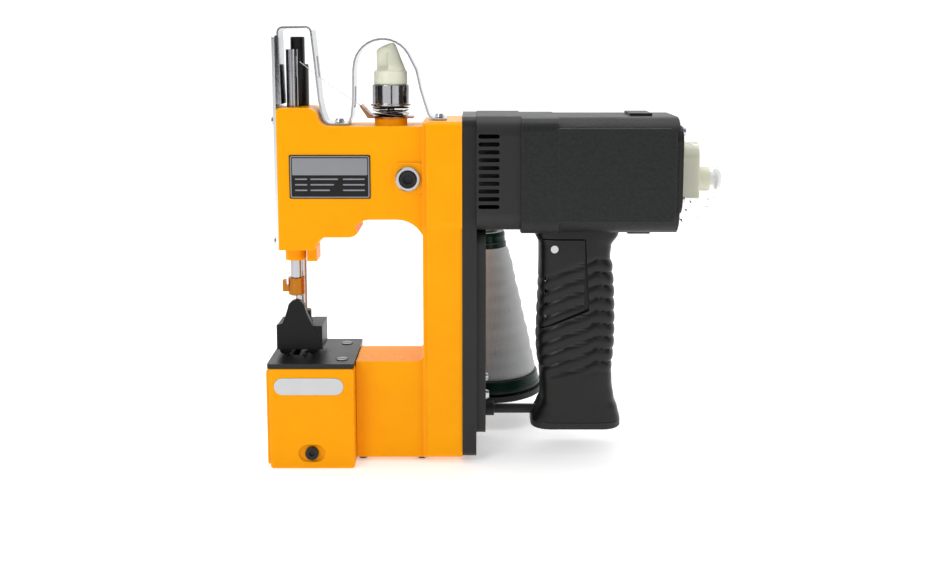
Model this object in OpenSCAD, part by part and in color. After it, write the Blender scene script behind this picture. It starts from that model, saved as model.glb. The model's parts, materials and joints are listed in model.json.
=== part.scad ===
// Hand-held bag closer sewing machine: C-frame with needle end at the left,
// belt case, motor and pistol grip at the right, thread cone behind.
// Origin: on the resting face, under the needle. X runs towards the motor, Z up.
// Heights inside the modules count from a datum plane that lies box_drop above
// the resting face, and the whole machine is raised by box_drop at the end.

/* [Frame] */
// Height of the main top face of the upper arm
arm_top = 224.5; // [221:0.5:226]
// Height of the raised needle end of the upper arm
nose_top = 236.5; // [233:0.5:237]
// Half depth of both arms
arm_half = 19; // [18:0.5:20]
// Wall thickness of the castings
wall = 3; // [2.5:0.25:3]
// Height of the looper box, up to the underside of the throat plate
box_top = 64; // [63:0.5:65]
// Depth of the looper box below the datum plane
box_drop = 5; // [4:0.5:6]
// Half depth of the looper box
box_half = 32; // [30:1:34]

/* [Column and motor] */
// Front face of the yellow column housing
column_front = -23; // [-25:1:-22]
// Back face of the yellow column housing
column_back = 41; // [38:1:42]
// Y of the motor axis and of the pistol grip
motor_y = 9; // [8:0.5:10]
// Z of the motor axis
motor_z = 194; // [193:0.5:195]
// Half height of the motor housing
motor_half = 40.5; // [39:0.5:41]
// Clearance hole radius for the motor shaft
shaft_r = 4; // [3.5:0.25:4.5]

/* [Needle drive] */
// Radius of the needle bar
bar_r = 3.9; // [3.5:0.1:4]
// Radial running clearance of bars and shafts
fit = 0.05; // [0.02:0.01:0.1]
// X of the needle lever's pivot
pivot_x = 78.3; // [76:0.1:80]
// Z of the needle lever's pivot
pivot_z = 189.9; // [188:0.1:191]
// Z of the lower shaft
shaft_z = 38; // [37:0.5:39]

/* [Grip] */
// Half width of the pistol grip
grip_half = 19; // [18:0.5:20]
// Radius of the cord entry in the grip's base
cord_bore_r = 3.6; // [3:0.1:4]

/* [Thread] */
// Radius of the cone's base rim
cone_r = 33; // [31:0.5:34]
// Half angle of the cone
cone_angle = 10.4; // [9:0.1:11]
// Lean of the cone towards the needle end
cone_lean = 3.1; // [2:0.1:4]
// Length of the cone
cone_len = 118; // [110:1:120]

/* [Hidden] */
$fn = 64;
gap = 0.3;                       // clearance between neighbouring pieces
eps = 0.5;                       // overshoot of a cut

arm_left = -8.3;                 // left face of the upper arm
column_left = 90.7;               // joint between the flange and the column
column_right = 114;
column_top = 227.8;
column_foot = -1.8;
throat_bottom = 65.6;            // top of the lower arm
arm_under = 162.4;               // underside of the upper arm
box_left = -15;
box_right = 41.7;
flange_left = 87.8;              // bolting flange between the arms and the column
case_mid = 123.5;
case_right = 129.8;
front_case_right = 152.8;
motor_right = 256.6;
case_z = motor_z - 2.5;           // middle height of the motor housing
presser_x = 2.5;
presser_y = 11.6;
presser_r = 3;
tension_x = 66;
boss_top = 229;
pulley_left = 97;
pulley_right = 108;
small_pulley_r = 9;
large_pulley_r = 20;
belt_t = 2;
shaft_y = motor_y - 3;             // Y of the lower shaft
throw = 2.9;                     // throw of the lower shaft's eccentric
short_arm = 17.16;               // lever arm on the column side
grip_top = 152.9;
grip_foot = 13.9;                // underside of the grip's base cap
grip_seam = 19.2;                // seam between the base cap and the grip
trigger_x = 176.3;
trigger_z = 140.6;
cone_x = 139;
cone_y = 80;
cone_z = 20;
winding_foot = 9.7;              // height of the cone core's green base rim
screw_r = 2;                     // tapped hole of the pan-head screws
head_r = 3.4;
head_h = 2.2;
bush_r = 6.1;                    // bores for the needle bar's bushes
drive_block_r = 6;               // driving block on the needle bar
base_screw_r = 1.65;
face_screw_z = [146.4, 227.8];   // heights of the face plate's two screws
left_foot_x = 31.4;              // screws of the guard strip's two feet
right_foot_x = 98.7;
lift_pivot = [24, 170];          // X and Z of the lifting lever's pivot
plate_screw_xy = [[32.8, -20], [31.8, 20]];
base_screw_xy = [for (x = [45.5, 86], y = [-12, 12]) [x, y]];
// Y from the motor axis and Z of the rear cover's screws
rear_screw_yz = [[-24, 220.8], [-26, 176.2], [24, 168.9]];
case_screw_z = 40;
box_screw = [13, 5.5];           // X and Z of the looper cover's screw
side_screw_z = 26;
cord_x = 206;                    // centre of the cord entry
bar_z = 23.2;                    // height of the stay bar
stay_r = 3.3;
vent_pitch = 5.13;
gland_r = 5.95;
pump_z = 186.5;                  // height of the oiler's push button
pump_r = 5.2;
guard_lobes = [[271, 216.7], [283, 200.3]];

// Points of an arc in steps
function arc(cx, cy, r, a0, a1, n = 6) =
    [for (i = [0 : n]) [cx + r * cos(a0 + (a1 - a0) * i / n), cy + r * sin(a0 + (a1 - a0) * i / n)]];
// Corner points of a rounded rectangle
function rounded(x0, y0, x1, y1, r, n = 5) =
    concat(arc(x1 - r, y1 - r, r, 0, 90, n), arc(x0 + r, y1 - r, r, 90, 180, n),
           arc(x0 + r, y0 + r, r, 180, 270, n), arc(x1 - r, y0 + r, r, 270, 360, n));

// Extrudes an X-Z outline between two Y planes
module xz(y0, y1) {
    translate([0, y1, 0])
        rotate([90, 0, 0])
            linear_extrude(y1 - y0)
                children();
}

// Extrudes a Y-Z outline between two X planes
module yz(x0, x1) {
    translate([x0, 0, 0])
        rotate([90, 0, 90])
            linear_extrude(x1 - x0)
                children();
}

// Cylinder along X, along Y and along Z
module rod_x(x0, x1, y, z, r) {
    translate([x0, y, z])
        rotate([0, 90, 0])
            cylinder(h = x1 - x0, r = r);
}

module rod_y(y0, y1, x, z, r) {
    translate([x, y0, z])
        rotate([-90, 0, 0])
            cylinder(h = y1 - y0, r = r);
}

module rod_z(z0, z1, x, y, r) {
    translate([x, y, z0])
        cylinder(h = z1 - z0, r = r);
}

module block(x0, y0, z0, x1, y1, z1) {
    translate([x0, y0, z0])
        cube([x1 - x0, y1 - y0, z1 - z0]);
}

// Helical spring along Z as a stack of rings joined by a thin sleeve
module coil_z(z0, z1, x, y, r, wire, turns) {
    pitch = (z1 - z0 - 2 * wire) / (turns - 1);
    for (i = [0 : turns - 1])
        translate([x, y, z0 + wire + i * pitch])
            rotate_extrude()
                translate([r, 0])
                    circle(r = wire, $fn = 16);
    translate([x, y, z0 + wire])
        difference() {
            cylinder(h = z1 - z0 - 2 * wire, r = r + wire * 0.4);
            translate([0, 0, -eps])
                cylinder(h = z1 - z0, r = r - wire * 0.4);
        }
}

// Pan-head screw whose head's seat is at the origin, pointing along -Z
module pan_screw(length) {
    translate([0, 0, -length])
        cylinder(h = length + 0.2, r = screw_r - 0.05);
    difference() {
        cylinder(h = head_h, r1 = head_r, r2 = head_r - 0.9);
        translate([-head_r, -0.45, head_h - 0.9])
            cube([2 * head_r, 0.9, 2]);
    }
}

// ---- outlines of the frame casting ------------------------------------------
function upper_arm_outline() = concat(
    [[arm_left, 141.7], [15.1, 141.7], [19.5, 149], [22, 150.4], [38.2, 150.4]],
    arc(38.2, 158.4, 8, -85, -35, 4),
    arc(52.5, 150.4, 12, 145, 95, 4),
    arc(70.3, arm_under - 19.5, 19.5, 90, 4, 8),
    [[flange_left + 1, 139.8], [flange_left + 1, arm_top]],
    arc(26, arm_top + 7, 7, 270, 195, 5),
    arc(12.2, nose_top - 7, 7, 20, 90, 5),
    arc(arm_left + 2.5, nose_top - 2.5, 2.5, 90, 180, 3));

function upper_arm_hollow() = [
    [arm_left + 4, 156], [34, 156], [48, 167], [flange_left + 4, 167],
    [flange_left + 4, arm_top - wall], [16, arm_top - wall], [arm_left + 4, arm_top - wall]];

module frame_casting() {
    color([1.0, 0.66, 0.04])
    difference() {
        union() {
            difference() {
                frame_outside();
                // hollow of the upper arm, open to the column
                xz(-arm_half + wall, arm_half - wall)
                    polygon(upper_arm_hollow());
                // hollow of the lower arm, open to the looper box and the column
                block(box_right - 1, -arm_half + wall, column_foot + wall, flange_left + 4,
                      arm_half - wall, throat_bottom - wall);
            }
            // webs that carry the lower shaft's bearings
            for (x = [59, 81])
                block(x, -arm_half + 1, column_foot + 1, x + 5, arm_half - 1, throat_bottom - 1);
        }
        for (x = [58, 80])
            rod_x(x, x + 7, shaft_y, shaft_z, 8.95);
        rod_z(130, 160, 0, 0, bush_r);
        rod_z(arm_top - 10, nose_top + eps, 0, 0, bush_r);
        // pocket that the needle bar's driving block slides in
        rod_z(158, arm_top - 8, 0, 0, drive_block_r + 0.4);
        rod_z(130, nose_top + eps, presser_x, presser_y, presser_r + fit);
        rod_y(-arm_half - 2, arm_half + 1, pivot_x, pivot_z, 5);
        rod_z(arm_top - 9, boss_top + eps, tension_x, 0, 2.5);
        // tapped holes: face plate, guard foot and the lifting lever's pivot
        for (z = face_screw_z)
            rod_x(arm_left - eps, arm_left + 7, -9, z, screw_r);
        rod_z(arm_top - 7, arm_top + eps, left_foot_x, 0, screw_r);
        rod_y(arm_half - 6, arm_half + eps, lift_pivot[0], lift_pivot[1], 2.5);
        for (p = base_screw_xy)
            rod_z(column_foot - eps, column_foot + wall + eps, p[0], p[1], base_screw_r);
    }
}

// Outside of the C-frame before it is hollowed and drilled
module frame_outside() {
    xz(-arm_half, arm_half)
        polygon(upper_arm_outline());
    // lower arm
    xz(-arm_half, arm_half)
        polygon([[box_right + gap, column_foot], [flange_left + 1, column_foot],
                 [flange_left + 1, throat_bottom + 4], [flange_left - 3, throat_bottom],
                 [box_right + gap, throat_bottom]]);
    // flange that bolts to the column
    yz(flange_left, column_left)
        polygon(rounded(column_front + 1, column_foot, column_back - 1, column_top - 1, 3));
    // lugs around the needle bar and beside the presser bar
    rod_z(132.3, 142, 0, 0, 6.6 + eps);
    block(8.8, -9, 132.3, 15.6, 9, 142);
    // boss under the thread tension
    rod_z(arm_top - 1, boss_top, tension_x, 0, 11);
    // raised pad around the lever's pivot screw
    xz(-arm_half - 1.4, -arm_half + 1)
        polygon(rounded(pivot_x - 8.6, 180.5, flange_left + 0.8, 200.5, 3));
}

module column_housing() {
    color([1.0, 0.66, 0.04])
    difference() {
        union() {
            yz(column_left + 0.05, column_right)
                polygon(rounded(column_front, column_foot, column_back, column_top, 5));
            // the upper half stands a little prouder
            yz(column_left + 0.05, column_right)
                polygon(rounded(column_front - 2, 156, column_back + 1, column_top, 5));
        }
        yz(column_left - eps, column_right - 3)
            polygon(rounded(column_front + wall, column_foot + wall, column_back - wall,
                            column_top - wall, 4));
        rod_x(column_right - 5, column_right + eps, motor_y, motor_z, 12);
        rod_x(column_right - 5, column_right + eps, motor_y, shaft_z, 9);
        rod_z(column_top - 7, column_top + eps, right_foot_x, 0, screw_r);
    }
}

// Black belt case in two steps, the outer one shorter
module belt_case() {
    color([0.13, 0.13, 0.135])
    difference() {
        union() {
            yz(column_right + 0.05, case_mid)
                polygon(rounded(column_front - 1, column_foot + 0.7, column_back, 231, 7));
            yz(case_mid - 1, case_right)
                polygon(rounded(column_front + 3, 13.5, column_back - 4, 155, 9));
        }
        rod_x(column_right - eps, case_right + eps, motor_y, motor_z, 24);
        rod_x(column_right - eps, case_mid + 2, motor_y, shaft_z, 9);
        block(case_mid - 6, column_front + 8, 60, case_mid + 2, column_back - 8, 150);
        for (y = [column_front + 12, column_back - 12])
            rod_x(case_mid - 6, case_right + eps, y, case_screw_z, screw_r);
    }
}

// Vented casing between the belt case and the motor
module motor_front_casing() {
    color([0.13, 0.13, 0.135])
    difference() {
        yz(case_mid + 0.05, front_case_right)
            polygon(rounded(motor_y - 39, 155.5, motor_y + 39, 231.5, 13));
        yz(case_mid - eps, front_case_right + eps)
            polygon(rounded(motor_y - 36, 158.5, motor_y + 36, 228.5, 10));
        // ten ventilation slots on each side
        for (side = [-1, 1])
            for (i = [0 : 9])
                translate([0, motor_y + side * 37.5, 172.6 + vent_pitch * i])
                    xz(-3, 3)
                        polygon(rounded(124.6, -1.45, 138.6, 1.45, 1.4, 4));
    }
}

module motor_housing() {
    color([0.13, 0.13, 0.135])
    difference() {
        union() {
            yz(front_case_right + 0.05, motor_right)
                polygon(rounded(motor_y - 38, case_z - motor_half + 2, motor_y + 38,
                                case_z + motor_half - 1.5, 16));
            // square shoulder next to the front casing
            yz(front_case_right + 0.05, 177)
                polygon(rounded(motor_y - 41, case_z - motor_half + 3, motor_y + 41,
                                case_z + motor_half - 1.6, 9));
            // flat cheeks standing proud of the round back
            for (side = [-1, 1])
                xz(motor_y + side * 38.4 - 2.5, motor_y + side * 38.4 + 2.5)
                    polygon(rounded(172, 162.5, motor_right - 3, 224, 5));
            block(226, motor_y - 14, 230.5, 241, motor_y + 14, 232.3);
            block(226, motor_y - 14, 150.5, 241, motor_y + 14, 154);
        }
        yz(front_case_right - eps, motor_right - 3)
            polygon(rounded(motor_y - 34.5, case_z - motor_half + 5.5, motor_y + 34.5,
                            case_z + motor_half - 5, 12));
        rod_x(motor_right - 4, motor_right + eps, motor_y, motor_z, 16);
        block(176, motor_y - 12, 150, 214, motor_y + 12, 164);
        for (p = rear_screw_yz)
            rod_x(252, 260, motor_y + p[0], p[1], screw_r);
    }
}

module rear_cover() {
    color([0.1, 0.1, 0.105])
    difference() {
        union() {
            yz(motor_right + 0.05, 259.2)
                polygon(rounded(motor_y - 34, 166, motor_y + 34, 224.7, 10));
            rod_x(248, motor_right + 1, motor_y, motor_z, 13);
        }
        rod_x(247, 255, motor_y, motor_z, 11 + fit);
        for (p = rear_screw_yz)
            rod_x(252, 260, motor_y + p[0], p[1], screw_r);
    }
}

// Every pan-head screw of one size: face plate, side cover, guard feet, rear cover, belt case
module pan_head_screws() {
    color([0.75, 0.75, 0.77]) {
        for (z = face_screw_z)
            translate([arm_left - 2.1, -9, z])
                rotate([0, -90, 0])
                    pan_screw(8);
        translate([box_left - 2.1, -10, side_screw_z])
            rotate([0, -90, 0])
                pan_screw(5);
        translate([left_foot_x, 0, arm_top + 1.7])
            pan_screw(7);
        translate([right_foot_x, 0, column_top + 1.7])
            pan_screw(7);
        for (p = rear_screw_yz)
            translate([259.4, motor_y + p[0], p[1]])
                rotate([0, 90, 0])
                    pan_screw(5);
        for (y = [column_front + 12, column_back - 12])
            translate([case_right + 0.1, y, case_screw_z])
                rotate([0, 90, 0])
                    pan_screw(9);
    }
}

// ---- looper box ---------------------------------------------------------------
module looper_box() {
    color([1.0, 0.66, 0.04])
    difference() {
        xz(-box_half + 3.4, box_half)
            polygon(rounded(box_left, -box_drop, box_right, box_top, 2));
        xz(-box_half, box_half - wall)
            polygon(rounded(box_left + wall, wall - box_drop, box_right - wall, box_top - wall, 1.5));
        // passage into the lower arm
        block(box_right - 6, -14, 10, box_right + 1, 15, 58);
        // slots for the needle and the feed dog
        block(-5, -13, box_top - 6, 14, 13, box_top + 1);
        rod_x(box_left - 1, box_left + 6, -10, side_screw_z, screw_r);
        rod_x(box_left + 1, box_left + 6, 20, 22, 4 + fit);
        for (p = plate_screw_xy)
            rod_z(box_top - 5, box_top + 1, p[0], p[1], screw_r);
    }
}

module looper_cover() {
    color([1.0, 0.66, 0.04])
    difference() {
        union() {
            xz(-box_half, -box_half + 3.2)
                polygon(rounded(box_left, -box_drop, box_right, box_top, 2));
            rod_y(-box_half + 3, -box_half + 12, box_screw[0], box_screw[1], 4.2);
        }
        // oval recess around the screw
        translate([box_screw[0], 0, box_screw[1]])
            xz(-box_half - 1, -box_half + 2)
                polygon(rounded(-8.8, -5.8, 8.8, 5.8, 5.7));
        rod_y(-box_half - 1, -box_half + 13, box_screw[0], box_screw[1], 2.5);
    }
}

// Socket-head screw along Y, with its head's front face at y
module socket_screw(x, y, z, r, head, length) {
    difference() {
        union() {
            rod_y(y, y + head, x, z, r);
            rod_y(y, y + length, x, z, r * 0.5);
        }
        rod_y(y - 1, y + head * 0.6, x, z, r * 0.42, $fn = 6);
    }
}

module looper_cover_screw() {
    color([0.12, 0.12, 0.13])
        socket_screw(box_screw[0], -box_half - 1, box_screw[1], 4.5, 2.9, 12);
}

module side_cover() {
    color([0.95, 0.63, 0.05])
    difference() {
        yz(box_left - 2, box_left - 0.05)
            polygon(rounded(-box_half + 2, 2 - box_drop, box_half - 2, box_top - 2, 2));
        rod_x(box_left - 3, box_left + 1, -10, side_screw_z, screw_r);
    }
}

module throat_plate() {
    color([0.1, 0.1, 0.105])
    difference() {
        translate([0, 0, box_top + 0.05])
            linear_extrude(3.3)
                polygon(rounded(box_left - 1, -box_half, box_right, box_half, 1.5));
        block(-2.2, -10, box_top - 1, 2.2, 4, box_top + 5);
        for (x = [-4.6, 5])
            block(x, -12, box_top - 1, x + 2.2, 12, box_top + 5);
        for (p = plate_screw_xy)
            rod_z(box_top - 1, box_top + 5, p[0], p[1], 4.1);
    }
}

module throat_plate_screws() {
    color([0.3, 0.3, 0.31])
        for (p = plate_screw_xy)
            difference() {
                union() {
                    rod_z(box_top + 0.6, box_top + 3.9, p[0], p[1], 4);
                    rod_z(box_top - 5, box_top + 1, p[0], p[1], screw_r - 0.05);
                }
                translate([p[0] - 5, p[1] - 0.5, box_top + 2.7])
                    cube([10, 1, 2]);
            }
}

// Hexagon-head screws that hold the lower arm's bottom edge
module base_screws() {
    color([0.12, 0.12, 0.13])
        for (p = base_screw_xy) {
            rod_z(column_foot - 2.6, column_foot - 0.05, p[0], p[1], 3.4, $fn = 6);
            rod_z(column_foot - 0.1, column_foot + wall - 0.2, p[0], p[1], base_screw_r - 0.05);
        }
}

// ---- pistol grip -----------------------------------------------------------------
function grip_outline() = [
    [163.4, grip_top], [163.6, 149], [166.1, 140.3], [166.2, 128.6], [165.7, 111.2], [164.8, 99],
    [164.9, 81.4], [165.3, 63.5], [167.2, 55.1], [168.2, 33.5], [165.6, 27.4],
    [161.3, grip_seam], [223.9, grip_seam], [221.8, 28.5], [218.7, 39.5],
    [217.3, 51.7], [217.8, 57.5], [219.3, 75.5], [219.3, 92.1], [218.7, 111], [217.2, 129.8],
    [215.4, 134.6], [216.4, 142.6], [220.9, 149], [221.6, grip_top]];

function grip_hollow() = [
    [169, grip_top + 1], [171, 138], [171, 110], [169, 98], [169, 80], [171, 55], [172, 33],
    [166, 23.5], [218, 23.5], [215, 39], [213.8, 52], [216, 74], [216, 110], [213, 130],
    [215, 147], [216, grip_top + 1]];

// Opening in the grip's side for the trigger's cheek, with room for its swing
function trigger_window() = [[155, 147.4], [176, 147.4], [197.2, 149], [200.4, 97.9], [155, 77.8]];

// Both halves as one shell, before it is parted along the middle
module grip_shell() {
    difference() {
        grip_blank(0);
        xz(motor_y - grip_half + 3, motor_y + grip_half - 3)
            polygon(grip_hollow());
        xz(motor_y - grip_half - 1, motor_y + grip_half + 1)
            polygon(trigger_window());
        rod_z(grip_seam - 1, 24.5, cord_x, motor_y, gland_r + 0.05);
        rod_x(155, 172, motor_y, bar_z, stay_r + 0.05);
    }
}

// Outer form of the grip, drawn in by an inset on its sides
module grip_blank(inset) {
    intersection() {
        xz(motor_y - grip_half + inset, motor_y + grip_half - inset)
            polygon(grip_outline());
        linear_extrude(160)
            polygon(rounded(160, motor_y - grip_half + inset, 224.5, motor_y + grip_half - inset,
                            14, 8));
    }
}

// Inner cheek that the trigger straddles, between two distances from the middle plane
module grip_cheek(near, far) {
    xz(near, far)
        polygon([[171.8, 151.5], [204, 151.5], [206, 92], [176, 78], [174.8, 84]]);
}

module grip_half_cut(side) {
    inner = motor_y + side * 12.5;
    outer = motor_y + side * 15.4;
    rim = motor_y + side * 16.6;
    intersection() {
        grip_shell();
        if (side < 0)
            block(150, motor_y - 40, 0, 240, motor_y - 0.05, 170);
        else
            block(150, motor_y + 0.05, 0, 240, motor_y + 40, 170);
    }
    difference() {
        union() {
            grip_cheek(min(inner, outer), max(inner, outer));
            difference() {
                grip_cheek(min(inner, rim), max(inner, rim));
                xz(motor_y - 30, motor_y + 30)
                    polygon(trigger_window());
            }
        }
        rod_y(motor_y - 30, motor_y + 30, trigger_x, trigger_z, 1.5);
    }
}

module grip_front_half() {
    color([0.12, 0.12, 0.125])
        grip_half_cut(-1);
}

module grip_back_half() {
    color([0.12, 0.12, 0.125])
        grip_half_cut(1);
}

module grip_base_cap() {
    color([0.1, 0.1, 0.105])
    difference() {
        translate([0, 0, grip_foot])
            linear_extrude(grip_seam - grip_foot - 0.1)
                polygon(rounded(161.4, motor_y - grip_half + 0.3, 223.9, motor_y + grip_half - 0.3,
                                13, 8));
        rod_z(grip_foot - 1, grip_foot + 8, cord_x, motor_y, gland_r + 0.05);
    }
}

// Rubber bush around the cord entry
module cord_gland() {
    color([0.08, 0.08, 0.08])
    difference() {
        union() {
            rod_z(grip_foot - 0.6, grip_foot + 12, cord_x, motor_y, gland_r);
            rod_z(grip_foot - 2.6, grip_foot - 0.1, cord_x, motor_y, gland_r + 2);
        }
        rod_z(grip_foot - 4, grip_foot + 14, cord_x, motor_y, cord_bore_r);
    }
}

// Paddle trigger: a channel that straddles the grip's inner cheeks
module trigger() {
    color([0.14, 0.14, 0.145])
    difference() {
        intersection() {
            grip_blank(1);
            xz(motor_y - grip_half, motor_y + grip_half)
                polygon([[150, 146.8], [196.7, 146.8], [196.7, 97.9], [150, 77.1]]);
        }
        xz(motor_y - grip_half + 3.2, motor_y + grip_half - 3.2)
            polygon([[170.5, 140], [171.5, 160], [210, 160], [210, 70], [170.2, 70]]);
        rod_y(motor_y - 30, motor_y + 30, trigger_x, trigger_z, 1.5 + fit);
    }
}

module trigger_pin() {
    color([0.8, 0.8, 0.82])
    union() {
        rod_y(motor_y - grip_half + 0.5, motor_y + grip_half - 1.1, trigger_x, trigger_z, 1.495);
        rod_y(motor_y - grip_half + 0.1, motor_y - grip_half + 0.9, trigger_x, trigger_z, 2.6);
    }
}

module trigger_spring() {
    color([0.7, 0.7, 0.72])
        translate([173.5, motor_y, 112])
            rotate([0, 90, 0])
                coil_z(0, 31.6, 0, 0, 2.5, 0.4, 9);
}

module trigger_switch() {
    color([0.2, 0.2, 0.21])
    union() {
        block(205.2, motor_y - 8, 92, 213.4, motor_y + 8, 124);
        block(209, motor_y - 11, 100, 212.5, motor_y + 11, 116);
    }
}

// Bar that ties the grip's foot to the belt case
module stay_bar() {
    color([0.13, 0.13, 0.135])
    union() {
        rod_x(case_right + 0.05, 136, motor_y, bar_z, 5);
        rod_x(135, 168, motor_y, bar_z, stay_r);
    }
}

// ---- thread cone --------------------------------------------------------------
// Places a piece on the leaning axis of the cone
module on_cone_axis() {
    translate([cone_x, cone_y, cone_z])
        rotate([0, -cone_lean, 0])
            children();
}

module cone_tray() {
    color([0.1, 0.1, 0.105]) {
        on_cone_axis()
            difference() {
                union() {
                    translate([0, 0, -5.5])
                        cylinder(h = 4.2, r = cone_r + 1.5);
                    translate([0, 0, -5.5])
                        cylinder(h = 5.2, r = 12);
                }
                translate([0, 0, -3.2])
                    difference() {
                        cylinder(h = 5, r = cone_r - 0.5);
                        translate([0, 0, -1])
                            cylinder(h = 8, r = 12.5);
                    }
                translate([0, 0, -7])
                    cylinder(h = 10, r = 3.5);
            }
        // arm that carries the tray from the back of the column
        difference() {
            union() {
                on_cone_axis()
                    translate([-cone_x, -cone_y, -9])
                        linear_extrude(3.7)
                            polygon([[104, column_back + 0.6], [112, column_back + 0.6],
                                     [148, 76], [146, 88], [133, 88]]);
                block(104, column_back + 0.05, 6, 112, column_back + 4, 46);
            }
            on_cone_axis()
                translate([0, 0, -12])
                    cylinder(h = 10, r = 3.5);
        }
    }
}

module cone_spindle() {
    color([0.7, 0.7, 0.72])
        on_cone_axis()
            union() {
                translate([0, 0, -12.1])
                    cylinder(h = 3, r = 6, $fn = 6);
                translate([0, 0, -10])
                    cylinder(h = 100, r = 3.49);
            }
}

module cone_core() {
    color([0.08, 0.36, 0.29])
        on_cone_axis()
            difference() {
                union() {
                    cylinder(h = winding_foot, r1 = cone_r, r2 = cone_r - winding_foot * tan(cone_angle));
                    cylinder(h = cone_len, r1 = cone_r - 9, r2 = 9);
                    translate([0, 0, cone_len - 10])
                        cylinder(h = 10, r1 = 12.6, r2 = 11.5);
                }
                translate([0, 0, -1])
                    cylinder(h = cone_len - 20, r1 = cone_r - 11, r2 = 7.8);
                translate([0, 0, -1])
                    cylinder(h = cone_len + 5, r = 5);
            }
}

module thread_winding() {
    color([0.86, 0.87, 0.88])
        on_cone_axis()
            difference() {
                translate([0, 0, winding_foot + 0.1])
                    cylinder(h = cone_len - 10.3 - winding_foot, r1 = cone_r - 2.2, r2 = 14);
                translate([0, 0, 0])
                    cylinder(h = cone_len, r1 = cone_r - 8.9, r2 = 9.1);
            }
}

// ---- needle end -------------------------------------------------------------------
module face_plate() {
    color([0.8, 0.8, 0.82])
    difference() {
        yz(arm_left - 2, arm_left - 0.05)
            polygon(rounded(-arm_half + 1.5, 141, arm_half - 1.5, 283.8, 2));
        for (z = face_screw_z)
            rod_x(arm_left - 3, arm_left + 1, -9, z, screw_r);
    }
}

// Points along the middle of the bent guard strip, from the needle end to the column
function guard_path() = concat(
    [[-6.6, nose_top + 2]],
    arc(-4.1, 285.6, 3.5, 180, 95, 4), arc(11, 285.8, 3.5, 85, 5, 4),
    [[16.4, 268], [19, 241], [20.6, 233]],
    arc(27.2, arm_top + 6.3, 5.5, 190, 265, 4),
    [[38, arm_top + 0.85]],
    [[40.4, 230.5], [41.6, 241], [42, 261.3]],
    arc(61.5, 262.2, 19.3, 165, 30, 12),
    [[83.6, 261.3], [86.6, 247.7], [90, 236.5]],
    arc(96.5, 234.15, 5.5, 200, 262, 3),
    [[103.5, column_top + 0.85]]);

// Closed outline of a strip of even thickness along a path
function strip_outline(path, half) = let (
    n = len(path) - 1,
    normal = [for (i = [0 : n]) let (
        d = path[min(i + 1, n)] - path[max(i - 1, 0)]) [-d[1], d[0]] / norm(d)])
    concat([for (i = [0 : n]) path[i] + half * normal[i]],
           [for (i = [n : -1 : 0]) path[i] - half * normal[i]]);

module guard_strip() {
    color([0.82, 0.82, 0.84])
    difference() {
        xz(-10, 10)
            polygon(strip_outline(guard_path(), 0.6));
        rod_z(arm_top - 1, arm_top + 8, left_foot_x, 0, screw_r);
        rod_z(column_top - 1, column_top + 8, right_foot_x, 0, screw_r);
        // slot over the needle bar, and openings that the thread runs through
        block(-5, -5.2, 280, 5.4, 5.2, 295);
        block(12, -5, 256, 24, 5, 270);
        block(36, -5, 236, 46, 5, 250);
    }
}

// ---- thread tension -------------------------------------------------------------
module tension_post() {
    color([0.7, 0.7, 0.72])
    difference() {
        rod_z(arm_top - 9, 272, tension_x, 0, 2.45);
        block(tension_x - 0.6, -4, 262, tension_x + 0.6, 4, 273);
    }
}

module thread_guide() {
    color([0.72, 0.42, 0.2])
    difference() {
        union() {
            xz(-7, 7)
                polygon([[51, boss_top + 0.05], [81.5, boss_top + 0.05], [81.5, boss_top + 1.1],
                         [54, boss_top + 1.1], [46.6, 238], [45.4, 237.3]]);
            rod_z(boss_top + 0.05, boss_top + 1.1, tension_x, 0, 12.5);
        }
        rod_z(boss_top - 1, boss_top + 3, tension_x, 0, 2.6);
        translate([49.2, 0, 234.8])
            rotate([0, 45, 0])
                cylinder(h = 12, r = 1.6, center = true);
    }
}

module tension_discs() {
    color([0.7, 0.68, 0.66])
        for (i = [0 : 2])
            translate([tension_x, 0, boss_top + 1.3 + i * 2.4])
                difference() {
                    union() {
                        cylinder(h = 0.9, r1 = 8, r2 = 12.6);
                        translate([0, 0, 0.85])
                            cylinder(h = 0.7, r = 12.6);
                    }
                    translate([0, 0, -1])
                        cylinder(h = 4, r = 2.7);
                }
}

module tension_cup() {
    color([0.8, 0.8, 0.82])
        translate([tension_x, 0, 237.3])
            difference() {
                union() {
                    cylinder(h = 14, r = 12.4);
                    cylinder(h = 1.3, r = 13.6);
                }
                translate([0, 0, 1.2])
                    cylinder(h = 14, r = 11.6);
                translate([0, 0, -1])
                    cylinder(h = 4, r = 2.7);
            }
}

module tension_spring() {
    color([0.7, 0.7, 0.72])
        coil_z(238.6, 250.9, tension_x, 0, 7.5, 0.6, 5);
}

module tension_knob() {
    color([0.9, 0.91, 0.84])
        translate([tension_x, 0, 0])
            difference() {
                union() {
                    translate([0, 0, 251])
                        cylinder(h = 10.2, r = 11.1);
                    translate([0, 0, 261])
                        cylinder(h = 6, r1 = 10.2, r2 = 9.6);
                    // wing-shaped finger grip
                    intersection() {
                        xz(-3.4, 3.4)
                            polygon([[-9.6, 260], [9.6, 260], [9.4, 263], [3.2, 277.5], [1.6, 279],
                                     [-1, 278.4], [-8.9, 270.5]]);
                        translate([0, 0, 250])
                            cylinder(h = 40, r = 10.4);
                    }
                }
                translate([0, 0, 250])
                    cylinder(h = 23, r = 2.45 + fit);
            }
}

// ---- plates and screws on the arm ------------------------------------------------
module nameplate() {
    color([0.14, 0.14, 0.15])
        xz(-arm_half - 0.7, -arm_half - 0.02)
            polygon(rounded(-0.2, 176.6, 53.4, 205.7, 1));
}

module serial_label() {
    color([0.85, 0.86, 0.88])
        xz(-box_half - 0.4, -box_half - 0.02)
            polygon(rounded(-11.5, 46.2, 34.8, 57.7, 5.6, 8));
}

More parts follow.
